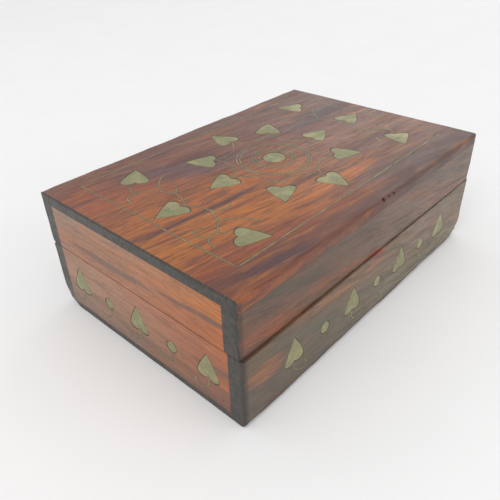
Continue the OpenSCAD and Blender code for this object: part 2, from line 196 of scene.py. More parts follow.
def grid_faces(rows: int, around: int, round_rows: bool = False) -> Array:
    """Quads of a grid that closes on itself along its rows, and if asked along its columns too.

    Args:
        rows: number of rings.
        around: number of points in a ring.
        round_rows: whether the last ring joins the first.

    Returns:
        The quads as an array of four columns.
    """
    last = rows if round_rows else rows - 1
    i = np.arange(last)[:, None]
    j = np.arange(around)[None, :]
    up, right = (i + 1) % rows, (j + 1) % around
    return np.stack([i * around + j, i * around + right, up * around + right, up * around + j],
                    -1).reshape(-1, 4)


def open_quads(rows: int, columns: int) -> Array:
    """Quads of a grid that stays open at all its edges, with its points numbered row by row.

    Args:
        rows: number of rows of points.
        columns: number of points in a row.

    Returns:
        The quads as an array of four columns.
    """
    i, j = np.meshgrid(np.arange(rows - 1), np.arange(columns - 1), indexing="ij")
    start = i * columns + j
    return np.stack([start, start + columns, start + columns + 1, start + 1], -1).reshape(-1, 4)


def capped(rings: Array) -> Skin:
    """Skin over a stack of rings: point (i, j) is ring i at step j, and a fan closes each end on its middle.

    Args:
        rings: an array of rings, points and coordinates.

    Returns:
        The closed skin.
    """
    count, around = rings.shape[:2]
    points = np.vstack([rings.reshape(-1, 3), rings[0].mean(0)[None], rings[-1].mean(0)[None]])
    j = np.arange(around)
    right = (j + 1) % around
    first, last = count * around, count * around + 1
    top = (count - 1) * around
    start = np.stack([np.full(around, first), right, j], -1)
    end = np.stack([np.full(around, last), top + j, top + right], -1)
    return Skin(points, [grid_faces(count, around), start, end]).outward()


def looped(rings: Array) -> Skin:
    """Skin over rings whose last joins the first, as on a hoop.

    Args:
        rings: an array of rings, points and coordinates.

    Returns:
        The closed skin.
    """
    return Skin(rings.reshape(-1, 3), [grid_faces(*rings.shape[:2], round_rows=True)]).outward()


def box_skin(stations: Sequence[Array]) -> Skin:
    """Box whose six faces are grids over the given stations, each point a function of two of them.

    Args:
        stations: the grid's x, y and z values, from the lowest to the highest.

    Returns:
        The skin, with the grids joined along the box's edges.
    """
    points, faces, start = [], [], 0
    for axis in range(3):
        u, v = (axis + 1) % 3, (axis + 2) % 3
        rows, columns = len(stations[u]), len(stations[v])
        quads = open_quads(rows, columns)
        for end, order in ((0, slice(None, None, -1)), (-1, slice(None))):
            grid = np.zeros((rows, columns, 3))
            grid[..., u] = stations[u][:, None]
            grid[..., v] = stations[v][None, :]
            grid[..., axis] = stations[axis][end]
            points.append(grid.reshape(-1, 3))
            faces.append(quads[:, order] + start)
            start += rows * columns
    stacked = np.vstack(points)
    _, kept, place = np.unique(np.round(stacked, 4), axis=0, return_index=True, return_inverse=True)
    return Skin(stacked[kept], [place.reshape(-1)[block] for block in faces]).outward()


def ripple(places: Array, seed: int, longest: float, waves: int = 6) -> Array:
    """Smooth unevenness between about -1 and 1: a sum of sines, each shorter and fainter than the one before.

    Args:
        places: where to work it out, along one line.
        seed: number that fixes the phases.
        longest: length of the longest wave.
        waves: number of sines.

    Returns:
        One value for each place.
    """
    rng = np.random.default_rng(seed)
    total = np.zeros_like(places, dtype=float)
    for k in range(waves):
        length = longest / (1.6 ** k)
        total += np.sin(2 * np.pi * (places / length + rng.random())) / (1 + 0.6 * k)
    return total / 2.2


# ---------- drawings on a face ----------


@dataclass(frozen=True)
class Plane:
    """One face of the box, with the directions of a drawing on it as seen from outside."""

    right: tuple[int, int, int]
    up: tuple[int, int, int]
    out: tuple[int, int, int]
    level: float

    def lift(self, flat: Array, height: Array) -> Array:
        """Puts drawn points into space: along right by x, along up by y, and out of the face by the height.

        Args:
            flat: the drawn points.
            height: how far each stands out of the face.

        Returns:
            The points in space.
        """
        right, up, out = (np.array(v, float) for v in (self.right, self.up, self.out))
        return flat[..., 0:1] * right + flat[..., 1:2] * up + (self.level + height)[..., None] * out

    def middle_of(self, node: str) -> Array:
        """Middle of a CAD node's box, as a place in the drawing.

        Args:
            node: the CAD node's name.

        Returns:
            The place, as two numbers.
        """
        low, high = span(node)
        middle = (low + high) / 2
        return np.array([middle @ np.array(self.right), middle @ np.array(self.up)])


def turned(points: Array, degrees: float) -> Array:
    """Turns drawn points about the drawing's origin, anticlockwise by the given degrees."""
    a = math.radians(degrees)
    return points @ np.array([[math.cos(a), math.sin(a)], [-math.sin(a), math.cos(a)]])


def centred(drawing: Array) -> Array:
    """Middle of the box round a drawing."""
    return (drawing.min(0) + drawing.max(0)) / 2


def bezier(p: Sequence[Sequence[float]], steps: int = 26) -> Array:
    """Cubic curve: each of four points weighted by the products of t and 1 - t.

    Args:
        p: the start, the two handles and the end.
        steps: number of points on the curve.

    Returns:
        The points.
    """
    t = np.linspace(0, 1, steps)[:, None]
    s = 1 - t
    q = np.array(p, float)
    return s ** 3 * q[0] + 3 * s * s * t * q[1] + 3 * s * t * t * q[2] + t ** 3 * q[3]


def normals_of(path: Array, closed: bool) -> Array:
    """Unit vectors to the left of a path at each of its points.

    Args:
        path: the path's points.
        closed: whether it joins itself.

    Returns:
        One vector for each point.
    """
    step = np.roll(path, -1, 0) - np.roll(path, 1, 0) if closed else np.gradient(path, axis=0)
    side = np.stack([-step[:, 1], step[:, 0]], -1)
    return side / np.linalg.norm(side, axis=1, keepdims=True)


@dataclass(frozen=True)
class Leaf:
    """Outline of a heart-shaped leaf with its tip up, in shares of its length and width.

    The flank is w/2 (b sin 90t + (1 - b) t) wide and falls evenly from the tip to the widest place.
    The lobe then turns through 150 degrees on an oval, and a straight cut runs to the notch.
    """

    length: float
    width: float
    tip: float = 0.54
    wide: float = -0.3
    notch: float = -0.345
    low: float = -0.46
    bulge: float = 0.4
    lobe_turn: float = 150.0
    steps: int = 16

    def ring(self, inset: float = 0.0) -> Array:
        """Outline of the leaf cut smaller by an inset all round, or larger by a negative one.

        Args:
            inset: distance between this outline and the full one.

        Returns:
            The outline's points, anticlockwise from the tip.
        """
        length, width = self.length - 2.4 * inset, self.width - 2 * inset
        t = np.linspace(0, 1, self.steps)
        a = np.radians(self.lobe_turn * t[1:])
        flank = np.stack([
            width / 2 * (self.bulge * np.sin(np.pi / 2 * t) + (1 - self.bulge) * t),
            length * (self.tip + (self.wide - self.tip) * t),
        ], -1)
        lobe = np.stack([
            width / 4 * (1 + np.cos(a)),
            length * (self.wide + (self.low - self.wide) * np.sin(a)),
        ], -1)
        right = np.vstack([flank, lobe])
        left = right[:0:-1] * [-1, 1]
        return np.vstack([right, [[0, length * self.notch]], left])[::-1]


@dataclass(frozen=True)
class Disc:
    """Outline of a round piece: the disc in the middle of the lid, or a bud on a side."""

    radius: float
    steps: int = 72

    def ring(self, inset: float = 0.0) -> Array:
        """Circle smaller than the disc by the inset."""
        a = np.linspace(0, 2 * np.pi, self.steps, endpoint=False)
        return (self.radius - inset) * np.stack([np.cos(a), np.sin(a)], -1)


Outline = Leaf | Disc


# ---------- material graphs ----------


def tone(red: int, green: int, blue: int) -> Colour:
    """Linear colour of an 8-bit display colour.

    Args:
        red: from 0 to 255.
        green: from 0 to 255.
        blue: from 0 to 255.

    Returns:
        The three linear values.
    """
    shares = np.array([red, green, blue]) / 255
    linear = np.where(shares <= 0.04045, shares / 12.92, ((shares + 0.055) / 1.055) ** 2.4)
    return tuple(float(v) for v in linear)


Stops = Sequence[tuple[float, Colour]]


def bands(*stops: tuple[float, int, int, int]) -> Stops:
    """Stops of a colour ramp, from a place in millimetres and an 8-bit colour for each."""
    return tuple((place, tone(*colour)) for place, *colour in stops)


class Graph:
    """A material's node graph, built up by short calls. Lengths in it are millimetres."""

    def __init__(self, name: str) -> None:
        """Starts a material with an empty graph and the object's own coordinates."""
        self.material = bpy.data.materials.new(name)
        self.material.use_nodes = True
        self.tree = self.material.node_tree
        self.tree.nodes.clear()
        coordinates = self.tree.nodes.new("ShaderNodeTexCoord")
        self.place = self.vector("SCALE", coordinates.outputs["Object"], scale=1 / MM)

    def node(self, kind: str, inputs: dict, **settings: object) -> bpy.types.Node:
        """Adds one node.

        Args:
            kind: the node's type name after ShaderNode.
            inputs: input name or number to a value or to another node's socket.
            **settings: the node's own settings.

        Returns:
            The node.
        """
        made = self.tree.nodes.new("ShaderNode" + kind)
        for key, value in settings.items():
            setattr(made, key, value)
        for key, value in inputs.items():
            if isinstance(value, bpy.types.NodeSocket):
                self.tree.links.new(value, made.inputs[key])
            else:
                made.inputs[key].default_value = value
        return made

    def vector(self, operation: str, a: object, b: object = (0, 0, 0),
               scale: object = 1.0) -> bpy.types.NodeSocket:
        """Vector Math on two vectors, or on one and a scale."""
        return self.node("VectorMath", {0: a, 1: b, 3: scale}, operation=operation).outputs[0]

    def maths(self, operation: str, a: object, b: object = 0.0,
              clamp: bool = False) -> bpy.types.NodeSocket:
        """Math on two numbers."""
        return self.node("Math", {0: a, 1: b}, operation=operation, use_clamp=clamp).outputs[0]

    def times(self, a: object, b: object) -> bpy.types.NodeSocket:
        """Product of two numbers."""
        return self.maths("MULTIPLY", a, b)

    def plus(self, a: object, b: object) -> bpy.types.NodeSocket:
        """Sum of two numbers."""
        return self.maths("ADD", a, b)

    def minus(self, a: object, b: object) -> bpy.types.NodeSocket:
        """The first number less the second."""
        return self.maths("SUBTRACT", a, b)

    def noise(self, place: object, stretch: tuple[float, float, float], detail: float = 3.0,
              roughness: float = 0.55, shift: float = 0.0, distortion: float = 0.0) -> bpy.types.NodeSocket:
        """Noise whose cells have the given counts per millimetre along x, y and z.

        Args:
            place: the vector that it is read at.
            stretch: cells per millimetre along each axis.
            detail: number of finer layers.
            roughness: strength of the finer layers.
            shift: moves the pattern, so that two noises differ.
            distortion: how far the pattern is bent by itself.

        Returns:
            The noise's number, around 0.5.
        """
        moved = self.node("Mapping",
                          {"Vector": place, "Location": (shift, shift * 0.7, shift * 1.3),
                           "Scale": stretch})
        made = self.node("TexNoise", {
            "Vector": moved.outputs[0], "Scale": 1.0, "Detail": detail, "Roughness": roughness,
            "Distortion": distortion,
        }, noise_dimensions="3D")
        return made.outputs[0]

    def fit(self, value: object, low: float, high: float, to_low: float = 0.0, to_high: float = 1.0,
            smooth: bool = True) -> bpy.types.NodeSocket:
        """Carries a value from one range into another, and holds it there.

        Args:
            value: the value.
            low: start of the range that it comes from.
            high: end of that range.
            to_low: what the start becomes.
            to_high: what the end becomes.
            smooth: whether it eases in and out.

        Returns:
            The carried value.
        """
        made = self.node("MapRange", {0: value, 1: low, 2: high, 3: to_low, 4: to_high})
        made.interpolation_type = "SMOOTHSTEP" if smooth else "LINEAR"
        return made.outputs[0]

    def ramp(self, value: object, low: float, high: float, stops: Stops) -> bpy.types.NodeSocket:
        """Colours along a length, from stops given in millimetres.

        Args:
            value: the place along the length.
            low: where the ramp starts.
            high: where the ramp ends.
            stops: pairs of a place and a colour, in order.

        Returns:
            The colour.
        """
        share = self.fit(value, low, high, smooth=False)
        made = self.node("ValToRGB", {0: share})
        elements = made.color_ramp.elements
        for number, (place, colour) in enumerate(stops):
            position = (place - low) / (high - low)
            element = elements[number] if number < 2 else elements.new(position)
            element.position = position
            element.color = (*colour, 1.0)
        return made.outputs[0]

    def mix(self, factor: object, a: object, b: object, blend: str = "MIX") -> bpy.types.NodeSocket:
        """Mixes two colours.

        Args:
            factor: share of the second colour.
            a: the first colour.
            b: the second colour.
            blend: how they are mixed.

        Returns:
            The mixed colour.
        """
        made = self.node("Mix", {0: factor}, data_type="RGBA", blend_type=blend, clamp_result=False)
        for socket, value in ((made.inputs[6], a), (made.inputs[7], b)):
            if isinstance(value, bpy.types.NodeSocket):
                self.tree.links.new(value, socket)
            else:
                socket.default_value = (*value, 1.0)
        return made.outputs[2]

    def split(self, place: object) -> list[bpy.types.NodeSocket]:
        """The x, y and z of a vector."""
        return list(self.node("SeparateXYZ", {0: place}).outputs)

    def combine(self, x: object, y: object, z: object) -> bpy.types.NodeSocket:
        """A vector from its x, y and z."""
        return self.node("CombineXYZ", {0: x, 1: y, 2: z}).outputs[0]

    def bump(self, height: object, depth: float, strength: float = 1.0,
             under: object = None) -> bpy.types.NodeSocket:
        """Bump from a height.

        Args:
            height: the height, between 0 and 1.
            depth: what a height of 1 is, in millimetres.
            strength: how strongly it shows.
            under: a bump that lies below it.

        Returns:
            The bumped normal.
        """
        inputs = {"Height": height, "Distance": depth * MM, "Strength": strength}
        if under is not None:
            inputs["Normal"] = under
        return self.node("Bump", inputs).outputs[0]

    def finish(self, inputs: dict) -> bpy.types.Material:
        """Adds the surface shader and the output.

        Args:
            inputs: the shader's input names to values or sockets.

        Returns:
            The finished material.
        """
        surface = self.node("BsdfPrincipled", inputs)
        self.node("OutputMaterial", {"Surface": surface.outputs[0]})
        return self.material


# ---------- finishes ----------


@dataclass(frozen=True)
class Cloud:
    """A soft patch of another colour in the wood: a tilted ellipse with a ragged edge."""

    along: float
    across: float
    long: float
    wide: float
    colour: Colour
    amount: float = 0.8
    tilt: float = 0.0


@dataclass(frozen=True)
class WoodFinish:
    """Oiled and worn hardwood, with bands of colour across the board and dark end grain."""

    name: str
    near: Stops
    far: Stops
    low: float
    high: float
    grain: Grain = Grain.ALONG_X
    figure: Figure = Figure.OVER_Z
    change: tuple[float, float] = (-60.0, 60.0)
    streak: Colour = tone(72, 44, 44)
    flame: Colour = tone(196, 122, 66)
    streak_amount: float = 0.55
    dash_amount: float = 0.6
    flame_amount: float = 0.5
    slope: float = 0.0
    end_grain: Colour = tone(50, 50, 48)
    end_pale: Colour = tone(78, 72, 64)
    clouds: tuple[Cloud, ...] = ()
    corner_dark: float = 0.5
    seed: float = 0.0

    def clouded(self, g: Graph, colour: object, along: object, across: object) -> object:
        """Lays the clouds over a colour.

        A cloud's strength falls from its middle to its edge, where (u / long)^2 + (v / wide)^2 = 1, with
        u and v measured along and across its own tilt. Noise stretched along the grain makes it ragged.

        Args:
            g: the material's nodes.
            colour: the colour below.
            along: the place along the grain.
            across: the place across the board.

        Returns:
            The colour with the clouds in it.
        """
        ragged = g.noise(g.combine(along, across, 0.0), (0.05, 0.5, 0.5), detail=4, roughness=0.6,
                         shift=self.seed + 7)
        ragged = g.times(g.minus(ragged, 0.5), 2.6)
        for cloud in self.clouds:
            u = g.minus(along, cloud.along)
            v = g.minus(g.minus(across, cloud.across), g.times(u, cloud.tilt))
            u = g.maths("DIVIDE", u, cloud.long)
            v = g.maths("DIVIDE", v, cloud.wide)
            away = g.maths("SQRT", g.plus(g.times(u, u), g.times(v, v)))
            away = g.plus(away, ragged)
            colour = g.mix(g.fit(away, 1.15, 0.35, 0.0, cloud.amount), colour, cloud.colour)
        return colour

    def laid(self, g: Graph, colour: object, over: object, place: object,
             stretch: tuple[float, float, float],
             shift: float, fit: tuple[float, float, float, float], **noise: float) -> bpy.types.NodeSocket:
        """Lays one colour over another where stretched noise is strong.

        Args:
            g: the material's nodes.
            colour: the colour below.
            over: the colour on top.
            place: the vector that the noise is read at.
            stretch: the noise's cells per millimetre along each axis.
            shift: moves the noise, beside the finish's own seed.
            fit: two values of the noise, and the top colour's share at each.
            **noise: more settings of the noise.

        Returns:
            The colour of both.
        """
        pattern = g.noise(place, stretch, shift=self.seed + shift, **noise)
        return g.mix(g.fit(pattern, *fit), colour, over)

    def build(self, sizes: Sizes) -> bpy.types.Material:
        """Makes the material.

        The place is bent by slow noise, so that the lines of grain wander. Two colour ramps across the
        board, one for each end of its grain, give the bands. Stretched noises then lay dark streaks,
        bright flames, fibres and pores over them. Painted shade darkens the wood along the seam between
        lid and base and towards the foot of the box.

        Args:
            sizes: the box's sizes, for the end grain and for the painted shade at the seam and the foot.

        Returns:
            The material.
        """
        g = Graph(self.name)
        axes = g.split(g.place)
        along = axes[self.grain.value]
        across, height = axes[1 - self.grain.value], axes[2]
        tilt = g.times(along, self.slope)
        if self.figure is Figure.OVER_Y:
            across = g.plus(across, tilt)
        else:
            height = g.plus(height, tilt)
        plain = g.combine(along, across, height)
        bend = g.noise(plain, (0.014, 0.05, 0.05), detail=2, shift=self.seed + 3)
        drift = g.times(g.minus(bend, 0.5), 9.0)
        bent = g.vector("ADD", plain, g.combine(0.0, drift, drift))

        level = axes[1 - self.grain.value] if self.figure is Figure.OVER_Y else axes[2]
        band_place = across if self.figure is Figure.OVER_Y else height
        band_place = g.plus(band_place, g.times(drift, 0.7))
        near = g.ramp(band_place, self.low, self.high, self.near)
        far = g.ramp(band_place, self.low, self.high, self.far)
        colour = g.mix(g.fit(along, *self.change), near, far)
        colour = self.clouded(g, colour, along, level)

        colour = self.laid(g, colour, g.mix(0.6, colour, self.flame), bent, (0.035, 0.3, 0.3), 11,
                           (0.5, 0.72, 0.0, self.flame_amount), detail=4, roughness=0.6)
        colour = self.laid(g, colour, self.streak, bent, (0.02, 0.36, 0.36), 23,
                           (0.5, 0.64, 0.0, self.streak_amount), detail=5, roughness=0.62, distortion=0.3)
        colour = self.laid(g, colour, self.streak, bent, (0.07, 0.95, 0.95), 27,
                           (0.52, 0.64, 0.0, self.dash_amount), detail=4, roughness=0.6, distortion=0.2)
        colour = self.laid(g, colour, self.streak, bent, (0.05, 1.9, 1.9), 31,
                           (0.38, 0.52, 0.4, 0.0), detail=4, roughness=0.6)
        fibres = g.noise(bent, (0.12, 4.5, 4.5), detail=3, shift=self.seed + 41)
        shade = g.fit(fibres, 0.3, 0.7, 0.82, 1.14, smooth=False)
        colour = g.mix(1.0, colour, g.combine(shade, shade, shade), "MULTIPLY")
        pores = g.fit(g.noise(bent, (0.3, 5.0, 5.0), detail=2, shift=self.seed + 53), 0.62, 0.72)
        colour = g.mix(g.times(pores, 0.55), colour, tone(48, 30, 26))

        x, y, z = axes
        end = g.maths("ABSOLUTE", x)
        shows = g.fit(end, sizes.half_l - 0.75, sizes.half_l - 0.3)
        if self.grain is Grain.ALONG_X:
            rays = g.noise(g.place, (0.5, 1.1, 0.5), detail=5, shift=self.seed + 61)
            ends = g.mix(g.fit(rays, 0.35, 0.7), self.end_grain, self.end_pale)
            colour = g.mix(shows, colour, ends)
        # Painted shade: the wood is darkened along the seam between lid and base and towards the foot of the
        # box, broken up by noise.
        shade_noise = g.noise(g.place, (0.12, 0.12, 0.12), detail=3, shift=self.seed + 71)
        seam = g.maths("ABSOLUTE", g.minus(z, sizes.base_h))
        near_seam = g.fit(seam, 0.0, 0.6, 0.55, 0.0)
        near_foot = g.fit(z, 0.4, 3.2, 0.6, 0.0)
        seam_and_foot_shade = g.times(g.maths("MAXIMUM", near_seam, near_foot), g.fit(shade_noise, 0.3, 0.6, 0.5, 1.0))
        colour = g.mix(seam_and_foot_shade, colour, tone(60, 42, 34))
        to_end = g.minus(sizes.half_l, g.maths("ABSOLUTE", x))
        to_side = g.minus(sizes.half_w, g.maths("ABSOLUTE", y))
        corner = g.fit(g.maths("MAXIMUM", to_end, to_side), 1.0, 2.4, self.corner_dark, 0.0)
        colour = g.mix(corner, colour, tone(54, 48, 44))

        rough = g.fit(g.noise(plain, (0.05, 0.2, 0.2), detail=3, shift=self.seed + 83), 0.3, 0.7, 0.36, 0.5)
        rough = g.plus(rough, g.times(pores, 0.2))
        height = g.minus(g.times(fibres, 0.35), pores)
        relief = g.bump(height, 0.05, 0.7)
        waves = g.noise(plain, (0.05, 0.18, 0.18), detail=2, shift=self.seed + 91)
        relief = g.bump(waves, 0.25, 0.6, under=relief)
        return g.finish({
            "Base Color": colour, "Roughness": rough, "Normal": relief,
            "Specular IOR Level": 0.4, "Coat Weight": 0.06, "Coat Roughness": 0.3,
        })


@dataclass(frozen=True)
class BrassFinish:
    """Old brass: dull greenish patina, brighter where it is rubbed, with scratches and specks."""

    name: str
    dull: Colour = tone(144, 142, 106)
    bright: Colour = tone(190, 178, 118)
    dark: Colour = tone(96, 90, 62)
    rubbed: float = 0.25
    soiled: float = 0.3
    scale: float = 1.0
    metal: float = 0.45

    def build(self) -> bpy.types.Material:
        """Makes the material: slow patches of patina and polish, long fine scratches and dark specks.

        Returns:
            The material.
        """
        g = Graph(self.name)
        s = self.scale
        patches = g.noise(g.place, (0.16 * s, 0.16 * s, 0.16 * s), detail=4, shift=5)
        colour = g.mix(g.fit(patches, 0.5, 0.62, 0.0, self.rubbed), self.dull, self.bright)
        soil = g.noise(g.place, (0.5 * s, 0.5 * s, 0.5 * s), detail=5, roughness=0.65, shift=17)
        soiled = g.fit(soil, 0.52, 0.66, 0.0, self.soiled)
        colour = g.mix(soiled, colour, self.dark)
        specks = g.fit(g.noise(g.place, (2.6, 2.6, 2.6), detail=2, shift=29), 0.66, 0.74)
        colour = g.mix(g.times(specks, 0.5), colour, self.dark)
        scratches = g.noise(g.place, (0.4, 7.0, 3.0), detail=2, shift=37, distortion=0.4)
        cross = g.noise(g.place, (6.0, 0.5, 3.0), detail=2, shift=43, distortion=0.4)
        lines = g.maths("MAXIMUM", g.fit(scratches, 0.64, 0.72), g.fit(cross, 0.66, 0.74))
        colour = g.mix(g.times(lines, 0.35), colour, self.bright)
        rough = g.fit(patches, 0.4, 0.65, 0.5, 0.36)
        rough = g.maths("ADD", rough, g.times(soiled, 0.3), clamp=True)
        dents = g.noise(g.place, (0.45, 0.45, 0.45), detail=2, shift=51)
        relief = g.bump(dents, 0.09, 0.7)
        relief = g.bump(g.minus(1.0, lines), 0.015, 0.8, under=relief)
        return g.finish({
            "Base Color": colour, "Roughness": rough, "Normal": relief, "Metallic": self.metal,
            "Specular IOR Level": 0.5,
        })


@dataclass(frozen=True)
class LacFinish:
    """Dark lac that fills the gaps round the brass, dull and slightly pitted."""

    name: str
    dark: Colour = tone(44, 36, 28)
    pale: Colour = tone(84, 70, 50)

    def build(self) -> bpy.types.Material:
        """Makes the material: two dark browns mottled together, with small pits.

        Returns:
            The material.
        """
        g = Graph(self.name)
        mottle = g.noise(g.place, (0.7, 0.7, 0.7), detail=4, shift=7)
        colour = g.mix(g.fit(mottle, 0.42, 0.66), self.dark, self.pale)
        pits = g.noise(g.place, (4.0, 4.0, 4.0), detail=2, shift=13)
        return g.finish({
            "Base Color": colour, "Roughness": g.fit(pits, 0.3, 0.7, 0.45, 0.7),
            "Normal": g.bump(pits, 0.04, 0.6),
        })


@dataclass(frozen=True)
class VelvetFinish:
    """Short red velvet, with a nap that was brushed in different directions."""

    name: str
    deep: Colour = tone(92, 14, 24)
    brushed: Colour = tone(138, 30, 40)

    def build(self) -> bpy.types.Material:
        """Makes the material: broad brushed patches, fine pile, and a sheen at grazing angles.

        Returns:
            The material.
        """
        g = Graph(self.name)
        nap = g.noise(g.place, (0.05, 0.07, 0.07), detail=3, shift=9, distortion=1.2)
        colour = g.mix(g.fit(nap, 0.42, 0.6), self.deep, self.brushed)
        pile = g.noise(g.place, (5.0, 5.0, 5.0), detail=3, shift=19)
        shade = g.fit(pile, 0.3, 0.7, 0.72, 1.2, smooth=False)
        colour = g.mix(1.0, colour, g.combine(shade, shade, shade), "MULTIPLY")
        weave = g.node("TexVoronoi", {"Vector": g.place, "Scale": 2.4}).outputs["Distance"]
        relief = g.bump(pile, 0.25, 0.8)
        relief = g.bump(weave, 0.12, 0.5, under=relief)
        return g.finish({
            "Base Color": colour, "Roughness": 0.92, "Normal": relief, "Specular IOR Level": 0.2,
            "Sheen Weight": 0.7, "Sheen Roughness": 0.35,
        })


@dataclass(frozen=True)
class GroundFinish:
    """Matt near-white ground that the box stands on."""

    name: str
    colour: Colour = tone(247, 247, 247)

    def build(self) -> bpy.types.Material:
        """Makes the material: an even pale paper with a very faint mottle.

        Returns:
            The material.
        """
        g = Graph(self.name)
        mottle = g.noise(g.place, (0.02, 0.02, 0.02), detail=4, shift=3)
        shade = g.fit(mottle, 0.3, 0.7, 0.985, 1.0)
        colour = g.mix(1.0, self.colour, g.combine(shade, shade, shade), "MULTIPLY")
        return g.finish({"Base Color": colour, "Roughness": 0.9, "Specular IOR Level": 0.2})


# ---------- making pieces ----------


SMOOTH_BELOW = math.radians(38)


def add_piece(name: str, skin: Skin, body: Body, material: bpy.types.Material,
              stands_for: Sequence[str] = ()) -> bpy.types.Object:
    """Makes an object from a skin, dresses it and lets it ride on its body.

    Args:
        name: the piece's name.
        skin: its surface.
        body: the body that it moves with.
        material: its finish.
        stands_for: the CAD nodes that it replaces.

    Returns:
        The object.
    """
    piece = skin.to_object(name)
    dress(piece, material)
    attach(piece, body.value)
    if stands_for:
        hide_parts(*stands_for)
    log.info("%s: %d points", name, len(piece.data.vertices))
    return piece


def dress(piece: bpy.types.Object, material: bpy.types.Material) -> None:
    """Gives a piece its material, and shades it smooth except across its sharp edges.

    Args:
        piece: the piece.
        material: its finish.
    """
    mesh = piece.data
    mesh.materials.clear()
    mesh.materials.append(material)
    mesh.polygons.foreach_set("use_smooth", np.ones(len(mesh.polygons), bool))
    mesh.set_sharp_from_angle(angle=SMOOTH_BELOW)


def carve(piece: bpy.types.Object, cutters: Sequence[Skin]) -> None:
    """Cuts skins out of a piece, one after another, and leaves a plain mesh.

    Args:
        piece: the object that is cut.
        cutters: the skins, each made of parts that don't touch.
    """
    tools = []
    for number, skin in enumerate(cutters):
        tool = skin.to_object(f"{piece.name}_cutter_{number}")
        cut = piece.modifiers.new(tool.name, "BOOLEAN")
        cut.operation, cut.solver, cut.object = "DIFFERENCE", "MANIFOLD", tool
        tools.append(tool)
    bpy.context.view_layer.update()
    ready = piece.evaluated_get(bpy.context.evaluated_depsgraph_get())
    result = bpy.data.meshes.new_from_object(ready)
    piece.modifiers.clear()
    old, piece.data = piece.data, result
    result.name = old.name
    bpy.data.meshes.remove(old)
    for tool in tools:
        mesh = tool.data
        bpy.data.objects.remove(tool)
        bpy.data.meshes.remove(mesh)


# ---------- boards ----------


def stations(low: float, high: float, step: float = 2.2, extra: Sequence[float] = ()) -> Array:
    """Places for a board's grid: close together near both ends, and evenly spaced between.

    Args:
        low: the lowest place.
        high: the highest place.
        step: spacing in the middle.
        extra: places that must have a line of their own.

    Returns:
        The places in order.
    """
    near = np.array([0, 0.12, 0.27, 0.45, 0.68, 0.95, 1.25, 1.6, 2.05, 2.6, 3.2])
    near = near[near < (high - low) / 2 - 0.1]
    count = max(int((high - low - 2 * near[-1]) / step), 1)
    between = np.linspace(low + near[-1], high - near[-1], count + 1)
    places = np.concatenate([low + near, between, high - near, np.array(extra)])
    return np.unique(np.round(places, 3))


def round_edge(p: Array, a: int, b: int, edge_a: Array, edge_b: float, side_a: int, side_b: int,
               r: Array) -> None:
    """Draws in the points past an edge's rounding: those further than r from the arc's middle move to r.

    Args:
        p: the points, changed in place.
        a: axis number of the first direction.
        b: axis number of the second direction.
        edge_a: the edge's place along a.
        edge_b: the edge's place along b.
        side_a: 1 if the board's outside is towards higher a, and -1 if lower.
        side_b: the same along b.
        r: radius of the rounding at each point.
    """
    middle_a = edge_a - side_a * r
    middle_b = edge_b - side_b * r
    da = (p[:, a] - middle_a) * side_a
    db = (p[:, b] - middle_b) * side_b
    away = np.hypot(da, db)
    past = (da > 0) & (db > 0) & (away > r)
    pull = np.where(past, r / np.maximum(away, 1e-9), 1.0)
    p[:, a] = np.where(past, middle_a + side_a * da * pull, p[:, a])
    p[:, b] = np.where(past, middle_b + side_b * db * pull, p[:, b])


@dataclass(frozen=True)
class Chip:
    """A small knock in an edge: points within its radius sink along a direction, most in the middle."""

    place: tuple[float, float, float]
    radius: float
    push: tuple[float, float, float]

    def press(self, p: Array) -> None:
        """Moves each point by push times (1 - (d / radius)^2)^2, where d is its distance from the middle.

        Args:
            p: the points, changed in place.
        """
        d = np.linalg.norm(p - np.array(self.place), axis=1) / self.radius
        share = np.clip(1 - d * d, 0, None) ** 2
        p += share[:, None] * np.array(self.push)


@dataclass(frozen=True)
class Pit:
    """A woodworm's hole in the lid's top front edge, which slants down and narrows as it goes in."""

    along: float
    inwards: float
    down: float
    radius: float
    deep: float
    around: int = 14
    narrowing: float = 0.5
    way_in: tuple[float, float, float] = (0.0, 0.8, -0.6)
    way_up: tuple[float, float, float] = (0.0, 0.6, 0.8)

    def rod(self, front: float, top: float) -> Skin:
        """What is cut out: circles of radius r (1 - n t^2), where t runs from the mouth to the bottom.

        Args:
            front: place of the lid's front face at the hole.
            top: height of the lid's top.

        Returns:
            The rod, whose first circle stands out of the wood.
        """
        mouth = np.array([self.along, front + self.inwards, top - self.down])
        a = np.linspace(0, 2 * np.pi, self.around, endpoint=False)
        t = np.array([-0.8, 0.0, 0.4, 0.75, 1.0])
        r = self.radius * (1 - self.narrowing * np.clip(t, 0, 1) ** 2)
        circle = np.cos(a)[:, None] * np.array([1.0, 0.0, 0.0]) + np.sin(a)[:, None] * np.array(self.way_up)
        middles = mouth + self.deep * t[:, None, None] * np.array(self.way_in)
        return capped(middles + r[:, None, None] * circle)


